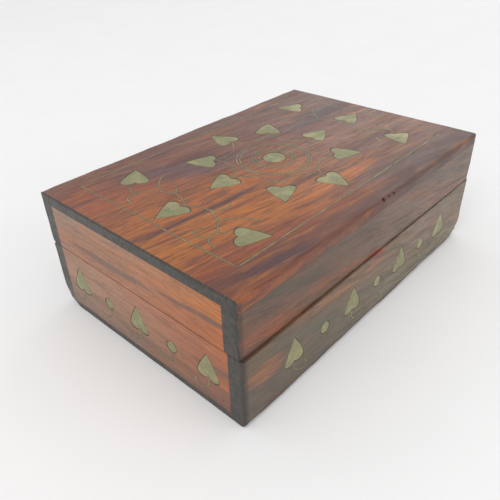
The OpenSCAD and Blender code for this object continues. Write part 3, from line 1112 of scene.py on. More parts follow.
@dataclass
class Timber:
    """Cuts boards from the CAD nodes' sizes and eases their outer edges by hand, unevenly."""

    sizes: Sizes
    wear: float = 0.28
    joint_gap: float = 0.03
    touching: float = 0.01
    made: int = 0

    def eased(self, p: Array, base: bool) -> None:
        """Rounds the outer edges of the base or of the lid, with a radius that wanders along each edge.

        Args:
            p: points of a board, changed in place.
            base: True for the base and False for the lid.
        """
        s = self.sizes
        bottom, top = (0.0, s.base_h) if base else (s.base_h, s.total_h)
        low_r, high_r = (s.bottom_round, s.seam_round) if base else (s.seam_round, s.top_round)
        seed = 5 if base else 50
        front = np.full(len(p), -s.half_w) if base else s.lid_front(p[:, 0])
        p[:, 1] = np.maximum(p[:, 1], front)
        for side_z, level, radius in ((-1, bottom, low_r), (1, top, high_r)):
            for side in (-1, 1):
                edge = front if side < 0 else np.full(len(p), s.half_w)
                seed += 1
                r = radius * (1 + self.wear * ripple(p[:, 0], seed, 60))
                round_edge(p, 1, 2, edge, level, side, side_z, r)
                seed += 1
                end_radius = min(radius, s.end_round)
                r = end_radius * (1 + self.wear * ripple(p[:, 1], seed, 60))
                round_edge(p, 0, 2, side * s.half_l, level, side, side_z, r)
        for side_x in (-1, 1):
            for side_y in (-1, 1):
                edge = front if side_y < 0 else np.full(len(p), s.half_w)
                seed += 1
                r = s.corner_round * (1 + self.wear * ripple(p[:, 2], seed, 30))
                round_edge(p, 1, 0, edge, side_x * s.half_l, side_y, side_x, r)

    def board(self, node: str, body: Body, material: bpy.types.Material, slot: str,
              cutters: Sequence[Skin] = (), chips: Sequence[Chip] = (),
              shape: Callable[[Array], None] | None = None,
              extra_y: Sequence[float] = ()) -> bpy.types.Object:
        """Makes one board in place of its CAD node.

        Args:
            node: the CAD node's name.
            body: the body it belongs to.
            material: its finish.
            slot: not used.
            cutters: what is cut out of it.
            chips: knocks in its edges.
            shape: a last change to the points, in place.
            extra_y: places across the box that need a line of points.

        Returns:
            The board.
        """
        low, high = span(node)
        s = self.sizes
        levels = (0.0, s.base_h) if body is Body.BASE else (s.base_h, s.total_h)
        limits = [(-s.half_l, s.half_l), (-s.half_w, s.half_w), levels]
        near, gap = self.touching, self.joint_gap
        lows = [v if abs(v - lim[0]) < near else v + gap for v, lim in zip(low, limits)]
        highs = [v if abs(v - lim[1]) < near else v - gap for v, lim in zip(high, limits)]
        if node in ("lid_top_panel", "lid_front_rail"):
            lows[1] = -s.half_w
        kept_y = [y for y in extra_y if lows[1] < y < highs[1]]
        skin = box_skin([stations(lows[0], highs[0]), stations(lows[1], highs[1], extra=kept_y),
                         stations(lows[2], highs[2])])
        self.eased(skin.points, body is Body.BASE)
        if shape is not None:
            shape(skin.points)
        for chip in chips:
            chip.press(skin.points)
        piece = add_piece(f"{node}_wood", skin, body, material, [node])
        if cutters:
            carve(piece, cutters)
            dress(piece, material)
        self.made += 1
        return piece


# ---------- inlay ----------


@dataclass
class Inlay:
    """Brass leaves in lac-filled pockets and wires in lac-filled grooves, on one face of the box."""

    plane: Plane
    body: Body
    leaf_finish: bpy.types.Material
    wire_finish: bpy.types.Material
    lac: bpy.types.Material
    sheet_t: float = 1.0
    gap: float = 0.25
    wire_w: float = 0.5
    wire_shown: float = 0.48
    wire_depth: float = 0.8
    lac_over: float = 0.1
    blunt: float = 0.35
    taper: float = 1.2
    pockets: list[Skin] = field(default_factory=list)
    fillings: list[Skin] = field(default_factory=list)

    def placed(self, drawing: Array, turn: float, at: Array) -> Array:
        """Turns a drawing and moves it to its place on the face."""
        return turned(drawing, turn) + at

    def locate(self, outline: Outline, turn: float, node: str) -> Array:
        """Where an outline's own origin lies, so that its box has the same middle as the CAD node's."""
        return self.plane.middle_of(node) - centred(turned(outline.ring(), turn))

    def plate(self, outline: Outline, turn: float, at: Array, seed: int) -> Skin:
        """One brass plate: a straight edge, a softened rim and a faintly crowned, uneven top.

        The rim's rings are insets of the outline. The top's are the last inset times 1 - t, at a height
        of c (1 - (1 - t)^2) plus a slow ripple, where t runs from the rim to the middle.

        Args:
            outline: the plate's outline.
            turn: how far the drawing is turned, in degrees.
            at: the place of the outline's origin on the face.
            seed: number that fixes the unevenness.

        Returns:
            The plate, and adds its pocket and its filling to the lists.
        """
        rim = [(0.12, -self.sheet_t), (0.02, -self.sheet_t + 0.08), (0.0, -0.16), (0.02, -0.07),
               (0.08, -0.015),
               (0.18, 0.012)]
        rings = [(outline.ring(inset), height) for inset, height in rim]
        inner = rings[-1][0]
        rings += [(inner * (1 - t), 0.012 + 0.05 * (1 - (1 - t) ** 2))
                  for t in (0.12, 0.3, 0.52, 0.76, 0.94)]
        flat = np.stack([self.placed(ring, turn, at) for ring, _ in rings])
        heights = np.stack([np.full(len(ring), height) for ring, height in rings])
        raised = heights > 0
        uneven = ripple(flat[..., 0], seed, 9, 3) * ripple(flat[..., 1], seed + 1, 9, 3)
        heights = heights + raised * 0.025 * uneven
        cut = np.stack([self.placed(outline.ring(-self.gap), turn, at)] * 2)
        levels = np.array([[-self.sheet_t], [1.0]]) * np.ones(cut.shape[:2])
        self.pockets.append(capped(self.plane.lift(cut, levels)))
        self.fillings.append(self.filling(outline, turn, at))
        return capped(self.plane.lift(flat, heights))

    def filling(self, outline: Outline, turn: float, at: Array) -> Skin:
        """Lac between a plate and its pocket: a band that sags a little between the two edges."""
        section = [(-self.gap - 0.1, -0.25), (-self.gap - 0.1, 0.006), (-self.gap * 0.55, -0.025),
                   (-0.04, -0.04),
                   (0.03, -0.3)]
        flat = np.stack([self.placed(outline.ring(inset), turn, at) for inset, _ in section])
        heights = np.array([h for _, h in section])[:, None] * np.ones(flat.shape[:2])
        return looped(self.plane.lift(flat, heights))

    def strip(self, path: Array, width: float, crown: float, depth: float, closed: bool) -> Skin:
        """A strip along a path: a shallow arch over a straight-sided foot, narrowed at both ends.

        Args:
            path: the points of its middle line on the face.
            width: width of the strip.
            crown: how far its middle stands out of the face.
            depth: how far it goes into the face.
            closed: whether the path joins itself.

        Returns:
            The strip.
        """
        across = np.array([-0.5, -0.5, -0.36, 0.0, 0.36, 0.5, 0.5])
        height = np.array([-depth, 0.1 * crown, 0.75 * crown, crown, 0.75 * crown, 0.1 * crown, -depth])
        side = normals_of(path, closed)
        run = np.concatenate([[0], np.cumsum(np.linalg.norm(np.diff(path, axis=0), axis=1))])
        left = np.minimum(run, run[-1] - run)
        narrow = np.ones(len(path)) if closed else np.clip(self.blunt + left / (self.taper * width), 0, 1)
        flat = path[:, None, :] + (width * narrow)[:, None, None] * across[None, :, None] * side[:, None, :]
        skin = looped if closed else capped
        return skin(self.plane.lift(flat, height[None, :] * np.ones(flat.shape[:2])))

    def wire(self, path: Array, closed: bool = False) -> Skin:
        """A brass wire hammered into its groove, with the lac that fills the groove beside it.

        Args:
            path: the wire's middle line on the face.
            closed: whether it joins itself.

        Returns:
            The wire.
        """
        self.fillings.append(self.strip(path, self.wire_shown + 2 * self.lac_over, 0.014, 0.3, closed))
        return self.strip(path, self.wire_shown, 0.04, self.wire_depth, closed)

    def add(self, node: str, skins: Sequence[Skin], wires: bool = False) -> None:
        """Adds a brass piece in place of a CAD node.

        Args:
            node: the CAD node's name.
            skins: the piece's separate parts.
            wires: whether it is wire, and not sheet.
        """
        finish = self.wire_finish if wires else self.leaf_finish
        add_piece(f"{node}_brass", join(skins), self.body, finish, [node])

    def fill(self, name: str) -> None:
        """Adds all the lac of this face as one piece."""
        add_piece(name, join(self.fillings), self.body, self.lac)


@dataclass
class SideInlay:
    """Leaves, buds and stems in a row along one side of the base."""

    inlay: Inlay
    side: str
    count: int
    grouped: bool = False
    leaf: Leaf = Leaf(11.2, 10.0)
    bud: Disc = Disc(2.3)
    stem_top: float = -0.44

    def stems(self, y: float, at: Array) -> list[Array]:
        """The stem below a leaf or bud, and the curl at its end, leftwards on the ends of the box.

        Args:
            y: height of the stem's top, from the middle of the leaf or bud.
            at: that middle.

        Returns:
            The two paths.
        """
        hand = np.array([1 if self.side in ("left", "right") else -1, 1])
        stem = [[0, y], [0.8, y - 2.6], [-1, y - 5.2], [-4.4, y - 6]]
        curl = [[-4.4, y - 6], [-7, y - 6], [-7.4, y - 3.6], [-5.7, y - 3.6]]
        return [bezier(stem) * hand + at, bezier(curl) * hand + at]

    def row(self, node: str, outline: Outline, count: int, pitch: float) -> list[Array]:
        """Places of a row that is one CAD node, spaced evenly about its middle."""
        middle = self.inlay.locate(outline, 0, node)
        return [middle + [(k - (count - 1) / 2) * pitch, 0] for k in range(count)]

    def build(self) -> None:
        """Lays the leaves, then the buds between them, then the stems."""
        names = [f"{self.side}_leaf_{k + 1}" for k in range(self.count)]
        if self.grouped:
            low, high = span(f"{self.side}_leaves")
            pitch = (high[0] - low[0] - self.leaf.width) / (self.count - 1)
            leaves = self.row(f"{self.side}_leaves", self.leaf, self.count, pitch)
        else:
            leaves = [self.inlay.locate(self.leaf, 0, name) for name in names]
            pitch = leaves[1][0] - leaves[0][0]
        buds = self.row(f"{self.side}_buds", self.bud, self.count - 1, pitch)
        plates = [self.inlay.plate(self.leaf, 0, at, 7 * k) for k, at in enumerate(leaves)]
        if self.grouped:
            self.inlay.add(f"{self.side}_leaves", plates)
        else:
            for name, plate in zip(names, plates):
                self.inlay.add(name, [plate])
        self.inlay.add(f"{self.side}_buds",
                       [self.inlay.plate(self.bud, 0, at, 90 + k) for k, at in enumerate(buds)])
        paths = [path for at in leaves for path in self.stems(self.stem_top * self.leaf.length, at)]
        paths += [path for at in buds for path in self.stems(-self.bud.radius - self.inlay.gap, at)]
        self.inlay.add(f"{self.side}_stems", [self.inlay.wire(path) for path in paths], wires=True)
        self.inlay.fill(f"{self.side}_lac")


@dataclass
class LidInlay:
    """The lid's pattern: a ring of leaves round a disc, wire rings and scallops, vines and a border."""

    inlay: Inlay
    leaf: Leaf = Leaf(12.2, 11.0)
    disc: Disc = Disc(4.6)
    ring_count: int = 8
    lean: float = 3.0
    slant: float = 50.0
    inner: tuple[float, float] = (7.6, 8.9)
    outer: tuple[float, float] = (13.9, 15.2)
    scallop_tip: float = 23.8
    scallop_waist: float = 18.4
    end_leaf_x: float = 55.0

    def lean_of(self, number: float) -> float:
        """The lean of a leaf, one way or the other, from its number."""
        return self.lean * math.sin(math.radians(number * 137.5))

    def ring(self, middle: Array, radius: float, seed: int) -> Array:
        """A hand-laid ring: a circle whose radius wavers by a tenth of a millimetre.

        Args:
            middle: the circle's middle.
            radius: its radius.
            seed: number that fixes the wavering.

        Returns:
            The ring's points.
        """
        a = np.linspace(0, 2 * np.pi, 160, endpoint=False)
        r = radius + 0.1 * np.sin(3 * a + seed) * np.sin(2 * a - seed)
        return middle + r[:, None] * np.stack([np.cos(a), np.sin(a)], -1)

    def scallop(self, middle: Array, degrees: float) -> Array:
        """One scallop, bowed inwards to the waist between the tips below two neighbouring leaves.

        Args:
            middle: the ring's middle.
            degrees: direction of the first leaf.

        Returns:
            The scallop's points.
        """
        step = 360 / self.ring_count
        a, b, c = (math.radians(degrees + extra) for extra in (0, step, step / 2))
        p = self.scallop_tip * np.array([math.cos(a), math.sin(a)])
        q = self.scallop_tip * np.array([math.cos(b), math.sin(b)])
        bend = 2 * self.scallop_waist * np.array([math.cos(c), math.sin(c)]) - (p + q) / 2
        return middle + bezier([p, (p + 2 * bend) / 3, (q + 2 * bend) / 3, q])

    def vine(self, side: int) -> list[Array]:
        """The curves of one end's vine, the front half and then the back half.

        Args:
            side: 1 for the right end and -1 for the left end.

        Returns:
            The curves' points.
        """
        start = self.end_leaf_x - 5.4
        front = [
            [[start, 0], [48, 2.5], [46.6, 5.5], [46, 9.3]],
            [[46, 9.3], [47, 13.5], [51, 19], [54.2, 20.8]],
            [[54.2, 20.8], [57.5, 21.4], [61.2, 21.6], [61, 27]],
            [[54.2, 20.8], [53.8, 22.4], [53.6, 23.8], [52.6, 25]],
            [[58.4, 21.4], [61.8, 19], [60.2, 11.5], [54.8, 16.8]],
            [[46, 9.3], [43.7, 12.4], [40.6, 13.6], [37.9, 11.6]],
            [[49.6, 17], [45, 17.5], [42, 22.5], [39.4, 27.8]],
        ]
        back = [
            [[start, 0], [46.8, 2], [46, 5.5], [45.4, 9.4]],
            [[45.4, 9.4], [47, 14], [52, 20.5], [56, 20.7]],
            [[56, 20.7], [58.5, 20.7], [60.6, 18.8], [59.8, 16.4]],
            [[45.4, 9.4], [44.2, 9.8], [43, 11], [42.2, 12.6]],
            [[48, 14], [46.4, 16.8], [44.5, 21], [40, 23]],
            [[54.6, 20.4], [55.6, 21.6], [54.6, 24.2], [52.8, 26]],
        ]
        return [bezier(c) * [side, -1] for c in front] + [bezier(c) * [side, 1] for c in back]

    def leaves(self) -> None:
        """Lays the ring of leaves and the three leaves at each end."""
        for k in range(self.ring_count):
            node = f"lid_ring_leaf_{k + 1}"
            turn = 360 / self.ring_count * k - 90 + self.lean_of(k + 1)
            at = self.inlay.locate(self.leaf, turn, node)
            self.inlay.add(node, [self.inlay.plate(self.leaf, turn, at, 11 * k)])
        for side, end in ((-1, "left"), (1, "right")):
            for up, place in ((1, "back"), (0, "middle"), (-1, "front")):
                slant = math.radians(self.slant)
                tip = (side, 0) if up == 0 else (-side * math.cos(slant), up * math.sin(slant))
                turn = math.degrees(math.atan2(tip[1], tip[0])) - 90 + self.lean_of(side + up)
                node = f"lid_{end}_{place}_leaf"
                at = self.inlay.locate(self.leaf, turn, node)
                self.inlay.add(node, [self.inlay.plate(self.leaf, turn, at, 200 + 9 * (3 * side + up))])

    def wires(self) -> None:
        """Lays the two pairs of rings, the scallops, the vines and the border."""
        for node, radii in (("lid_inner_rings", self.inner), ("lid_outer_rings", self.outer)):
            middle = self.inlay.plane.middle_of(node)
            self.inlay.add(node, [self.inlay.wire(self.ring(middle, r, 7 * k), True) for k,
                                  r in enumerate(radii)],
                           wires=True)
        middle = self.inlay.plane.middle_of("lid_centre_disc")
        arms = [self.scallop(middle, 360 / self.ring_count * k) for k in range(self.ring_count)]
        self.inlay.add("lid_scallop_wires", [self.inlay.wire(arm) for arm in arms], wires=True)
        for side, end in ((-1, "left"), (1, "right")):
            node = f"lid_{end}_vine"
            curves = self.vine(side)
            shift = self.inlay.plane.middle_of(node) - centred(np.vstack(curves))
            self.inlay.add(node, [self.inlay.wire(curve + shift) for curve in curves], wires=True)
        low, high = span("lid_border_wires")
        w = self.inlay.wire_w
        x0, y0, x1, y1 = low[0] + w / 2, low[1] + w / 2, high[0] - w / 2, high[1] - w / 2
        sides = [((x0, y0), (x1, y0)), ((x0, y1), (x1, y1)), ((x0, y0 + w), (x0, y1 - w)),
                 ((x1, y0 + w), (x1, y1 - w))]
        lines = [self.straight(np.array(a), np.array(b), number) for number, (a, b) in enumerate(sides)]
        self.inlay.add("lid_border_wires", [self.inlay.wire(line) for line in lines], wires=True)

    def straight(self, a: Array, b: Array, seed: int) -> Array:
        """A nearly straight wire, which wavers by a tenth of a millimetre.

        Args:
            a: where it starts.
            b: where it ends.
            seed: number that fixes the wavering.

        Returns:
            The wire's points.
        """
        t = np.linspace(0, 1, 60)[:, None]
        along = (b - a) / np.linalg.norm(b - a)
        across = np.array([-along[1], along[0]])
        waver = 0.1 * ripple(t[:, 0] * np.linalg.norm(b - a), 300 + seed, 60)
        return a + (b - a) * t + waver[:, None] * across

    def build(self) -> None:
        """Lays the whole pattern."""
        self.leaves()
        at = self.inlay.locate(self.disc, 0, "lid_centre_disc")
        self.inlay.add("lid_centre_disc", [self.inlay.plate(self.disc, 0, at, 77)])
        self.wires()
        self.inlay.fill("lid_lac")


# ---------- hinges ----------


@dataclass
class Hinges:
    """The two butt hinges: room for them in the boards, and aged brass on their own pieces."""

    sizes: Sizes
    finish: bpy.types.Material
    open_angle: float = 100.0
    recess_gap: float = 0.3
    clearance: float = 0.05
    bevel_start: float = 0.15
    plate_t: float = 0.8
    around: int = 40

    def axis_y(self) -> float:
        """Place of the hinges' axis across the box."""
        low, high = span("left_hinge_pin")
        return (low[1] + high[1]) / 2

    def bevel(self, up: int) -> Callable[[Array], None]:
        """Bevel along the back edge at the seam, which stops the lid at its open angle.

        Args:
            up: 1 for the lid's rail and -1 for the base's board.

        Returns:
            A function that moves the points beyond the bevel's plane onto it.
        """
        start = self.axis_y() - self.bevel_start
        steep = math.tan(math.radians(self.open_angle / 2))

        def cut(p: Array) -> None:
            """Holds z at or beyond the sloping plane, away from the seam.

            Args:
                p: the points, changed in place.
            """
            rise = np.clip(p[:, 1] - start, 0, None) * steep
            level = self.sizes.base_h + up * rise
            p[:, 2] = np.maximum(p[:, 2], level) if up > 0 else np.minimum(p[:, 2], level)

        return cut

    def room(self, part: str, up: int) -> list[Skin]:
        """Cutters for the knuckles and for the plates of both hinges.

        Args:
            part: lid or base, as in the hinge leaves' names.
            up: 1 for the lid and -1 for the base.

        Returns:
            One skin of two barrels, and one of two flat mortises.
        """
        barrels, mortises = [], []
        c = self.clearance
        for side in ("left", "right"):
            pin_low, pin_high = span(f"{side}_hinge_pin")
            leaf_low, leaf_high = span(f"{side}_hinge_{part}_leaf")
            y, z = self.axis_y(), self.sizes.base_h
            radius = leaf_high[1] - y + self.recess_gap
            a = np.linspace(0, 2 * np.pi, self.around, endpoint=False)
            ring = np.stack([np.zeros_like(a), y + radius * np.cos(a), z + radius * np.sin(a)], -1)
            ends = np.array([pin_low[0] - self.recess_gap, pin_high[0] + self.recess_gap])
            barrels.append(capped(ring[None] + ends[:, None, None] * np.array([1.0, 0, 0])))
            deep = self.plate_t + c
            levels = (z - 1, z + deep) if up > 0 else (z - deep, z + 1)
            mortises.append(box_skin([
                np.array([leaf_low[0] - c, leaf_high[0] + c]), np.array([leaf_low[1] - c, y]),
                np.array(levels)]))
        return [join(barrels), join(mortises)]

    def dress(self) -> None:
        """Gives the hinge leaves, pins and nails their aged brass."""
        names = [f"{side}_hinge_{part}" for side in ("left", "right")
                 for part in ("lid_leaf", "base_leaf", "pin")]
        for name in [*names, "lid_hinge_nails", "base_hinge_nails"]:
            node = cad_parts[name]
            node.data.materials.clear()
            node.data.materials.append(self.finish)
            log.info("%s: dressed", name)


# ---------- lining ----------


@dataclass
class Lining:
    """Velvet over a card on the floor of the base, with the cloth turned down at its edges."""

    finish: bpy.types.Material
    node: str = "base_floor_lining"
    corner: float = 1.5
    turn_down: float = 0.8

    def outline(self, half: Array, inset: float) -> Array:
        """Rectangle with rounded corners, as four quarter circles and straight runs.

        Args:
            half: half its length and half its width.
            inset: how much smaller it is all round.

        Returns:
            The outline's points.
        """
        x, y = half - inset
        r = max(self.corner - inset, 0.3)
        quarter = np.linspace(0, np.pi / 2, 7)
        points = []
        for number, (cx, cy) in enumerate(((x - r, y - r), (r - x, y - r), (r - x, r - y), (x - r, r - y))):
            a = quarter + number * np.pi / 2
            points.append(np.stack([cx + r * np.cos(a), cy + r * np.sin(a)], -1))
        corners = np.vstack(points)
        after = np.roll(corners, -1, 0)
        share = np.linspace(0, 1, 12, endpoint=False)[:, None]
        runs = [corners[i] + (after[i] - corners[i]) * (share if (i + 1) % 7 == 0 else share[:1])
                for i in range(len(corners))]
        return np.vstack(runs)

    def build(self) -> None:
        """Lofts the pad: flat underneath, a rolled edge, and a top that swells by a third of a millimetre."""
        low, high = span(self.node)
        middle, half = (low + high)[:2] / 2, (high - low)[:2] / 2
        t = high[2] - low[2]
        sections = [(1.2, 0.0), (0.25, 0.0), (0.0, 0.3 * t), (0.05, 0.62 * t), (0.3, 0.86 * t),
                    (0.8, 0.97 * t)]
        rings = [(self.outline(half, inset), height) for inset, height in sections]
        inner = rings[-1][0]
        rings += [(inner * (1 - s), 0.97 * t + 0.2 * math.sin(math.pi / 2 * s))
                  for s in np.linspace(0.06, 0.97, 14)]
        flat = np.stack([ring for ring, _ in rings]) + middle
        height = np.stack([np.full(len(ring), z) for ring, z in rings])
        swell = ripple(flat[..., 0], 401, 70, 4) * ripple(flat[..., 1], 402, 50, 4)
        height = low[2] + height + (height > 0.9 * t) * 0.12 * swell
        skin = capped(np.concatenate([flat, height[..., None]], -1))
        pad = add_piece("floor_velvet", skin, Body.BASE, self.finish, [self.node])


# ---------- base and lid ----------


@dataclass
class Lid:
    """The lid: panel, rails and inlay."""

    sizes: Sizes
    timber: Timber
    hinges: Hinges
    inlay: LidInlay
    pits: tuple[Pit, ...] = (
        Pit(-1.0, 0.2, 0.3, 0.75, 1.6), Pit(2.6, 0.3, 0.2, 0.4, 1.2), Pit(5.8, 0.15, 0.4, 0.6, 1.5),
    )

    def top_panel(self) -> WoodFinish:
        """Lid panel: orange in front, a dark band left of the middle, mauve brown behind.

        Returns:
            The finish.
        """
        near = bands(
            (-58, 150, 84, 46), (-53, 112, 66, 48), (-46, 116, 68, 50), (-41, 150, 80, 46),
            (-34, 168, 98, 44), (-26, 180, 106, 42), (-17, 176, 104, 44), (-8, 166, 96, 46),
            (4, 166, 96, 48), (14, 156, 88, 52), (22, 140, 78, 56), (32, 126, 80, 64), (51, 116, 80, 68),
        )
        far = bands(
            (-48, 88, 68, 60), (-36, 98, 74, 64), (-28, 126, 86, 66), (-14, 138, 94, 72), (2, 136, 94, 74),
            (12, 128, 90, 76), (30, 122, 90, 78), (60, 122, 90, 80),
        )
        purple = tone(76, 52, 58)
        dusk = tone(96, 76, 78)
        clouds = (
            Cloud(-24, 21, 34, 11, dusk, 0.85, -0.38), Cloud(52, 17, 34, 6, tone(84, 70, 72), 0.85),
            Cloud(-46, -7.5, 34, 2.2, purple, 0.85, -0.1),
            Cloud(-6, -19.5, 26, 2.6, tone(92, 60, 60), 0.8, -0.12),
            Cloud(40, -19, 24, 3.5, tone(98, 76, 72), 0.7, -0.05),
            Cloud(-56, -45.5, 22, 3.2, purple, 0.85, -0.16),
            Cloud(4, -29, 22, 4, tone(196, 108, 44), 0.8, -0.05),
            Cloud(-66, 34, 12, 12, tone(160, 88, 52), 0.6),
            Cloud(-8, -6, 20, 5, tone(182, 102, 50), 0.7, -0.15),
        )
        return WoodFinish("top_panel_wood", near, far, -58, 60, figure=Figure.OVER_Y, change=(-30, 34),
                          streak=tone(84, 52, 50), flame=tone(206, 126, 48), streak_amount=0.55,
                          flame_amount=0.6,
                          slope=0.12, clouds=clouds)

    def finishes(self) -> dict[str, bpy.types.Material]:
        """Makes the materials of the panel and the four rails.

        Returns:
            Each CAD node's name with its material.
        """
        s = self.sizes
        low, high = s.base_h, s.total_h
        front = WoodFinish(
            "lid_front_rail_wood",
            bands((low, 112, 78, 60), (low + 6, 104, 78, 62), (low + 13, 90, 76, 62), (high, 92, 74, 62)),
            bands((low, 118, 96, 76), (low + 8, 126, 100, 80), (low + 14, 120, 98, 80),
                  (high, 112, 94, 82)),
            low, high, streak=tone(76, 66, 56), flame=tone(156, 96, 66), flame_amount=0.45, seed=100,
            slope=0.16,
            change=(-60, 50), clouds=(
                Cloud(-62, low + 4, 17, 4.5, tone(152, 82, 52), 0.7, -0.12),
                Cloud(-6, low + 0.8, 6, 1.6, tone(150, 52, 40), 0.8),
                Cloud(-30, low + 4, 22, 2.2, tone(150, 86, 58), 0.7, -0.1),
                Cloud(-52, low + 14, 20, 3.4, tone(84, 80, 66), 0.7, -0.2),
                Cloud(24, low + 13, 26, 2.6, tone(140, 96, 74), 0.7, -0.2),
                Cloud(48, low + 4, 30, 5, tone(146, 100, 80), 0.6, -0.1)))
        left = WoodFinish(
            "lid_left_rail_wood",
            bands((low, 190, 106, 50), (low + 4, 184, 106, 54), (low + 9, 180, 100, 50),
                  (low + 13, 198, 116, 48), (high - 2, 182, 110, 52)),
            bands((low, 168, 115, 86), (low + 6, 165, 115, 87), (low + 12, 171, 121, 90),
                  (high - 2, 152, 128, 108)),
            low, high - 2, grain=Grain.ALONG_Y, change=(-50, 10), slope=-0.06, seed=140,
            streak=tone(112, 74, 58),
            streak_amount=0.3, dash_amount=0.35, flame=tone(206, 122, 56), clouds=(
                Cloud(-34, low + 9, 26, 1.5, tone(104, 84, 72), 0.85, -0.06),
                Cloud(14, low + 5.5, 32, 2.2, tone(112, 92, 80), 0.8, -0.06),
                Cloud(40, low + 14, 22, 5, tone(134, 120, 104), 0.6)))
        plain = WoodFinish(
            "lid_back_rail_wood",
            bands((low, 112, 74, 56), (low + 9, 126, 84, 60), (high, 104, 76, 64)),
            bands((low, 104, 70, 54), (low + 11, 118, 80, 58), (high, 98, 72, 60)),
            low, high, seed=180)
        right = WoodFinish(
            "lid_right_rail_wood",
            bands((low, 128, 82, 58), (low + 8, 146, 92, 60), (high, 112, 82, 66)),
            bands((low, 120, 80, 60), (low + 10, 134, 88, 62), (high, 108, 80, 66)),
            low, high, grain=Grain.ALONG_Y, seed=220, streak_amount=0.45)
        return {
            "lid_top_panel": self.top_panel().build(s), "lid_front_rail": front.build(s),
            "lid_left_rail": left.build(s), "lid_back_rail": plain.build(s),
            "lid_right_rail": right.build(s),
        }

    def build(self) -> None:
        """Lays the inlay first, so that its pockets are known, then cuts the boards."""
        self.inlay.build()
        wood = self.finishes()
        s = self.sizes
        x, y, z = -s.half_l, s.lid_front_left, s.total_h
        chips = [Chip((x, y, z - 7.5), 1.6, (0.5, 0.5, 0)), Chip((x, y, z - 11), 1.3, (0.4, 0.45, 0)),
                 Chip((x, y, z - 3.2), 1.1, (0.25, 0.3, 0)), Chip((x, y, z - 16.4), 1.2, (0.3, 0.3, 0))]
        pits = join([pit.rod(float(s.lid_front(pit.along)), z) for pit in self.pits])
        self.timber.board("lid_top_panel", Body.LID, wood["lid_top_panel"], "lid_panel_wood",
                          [join(self.inlay.inlay.pockets), pits], chips)
        for name in ("front", "left", "right"):
            node = f"lid_{name}_rail"
            self.timber.board(node, Body.LID, wood[node], "lid_rail_wood", (),
                              chips if name == "front" else ())
        bevel = [self.hinges.axis_y() - self.hinges.bevel_start]
        self.timber.board("lid_back_rail", Body.LID, wood["lid_back_rail"], "lid_rail_wood",
                          self.hinges.room("lid", 1), shape=self.hinges.bevel(1), extra_y=bevel)


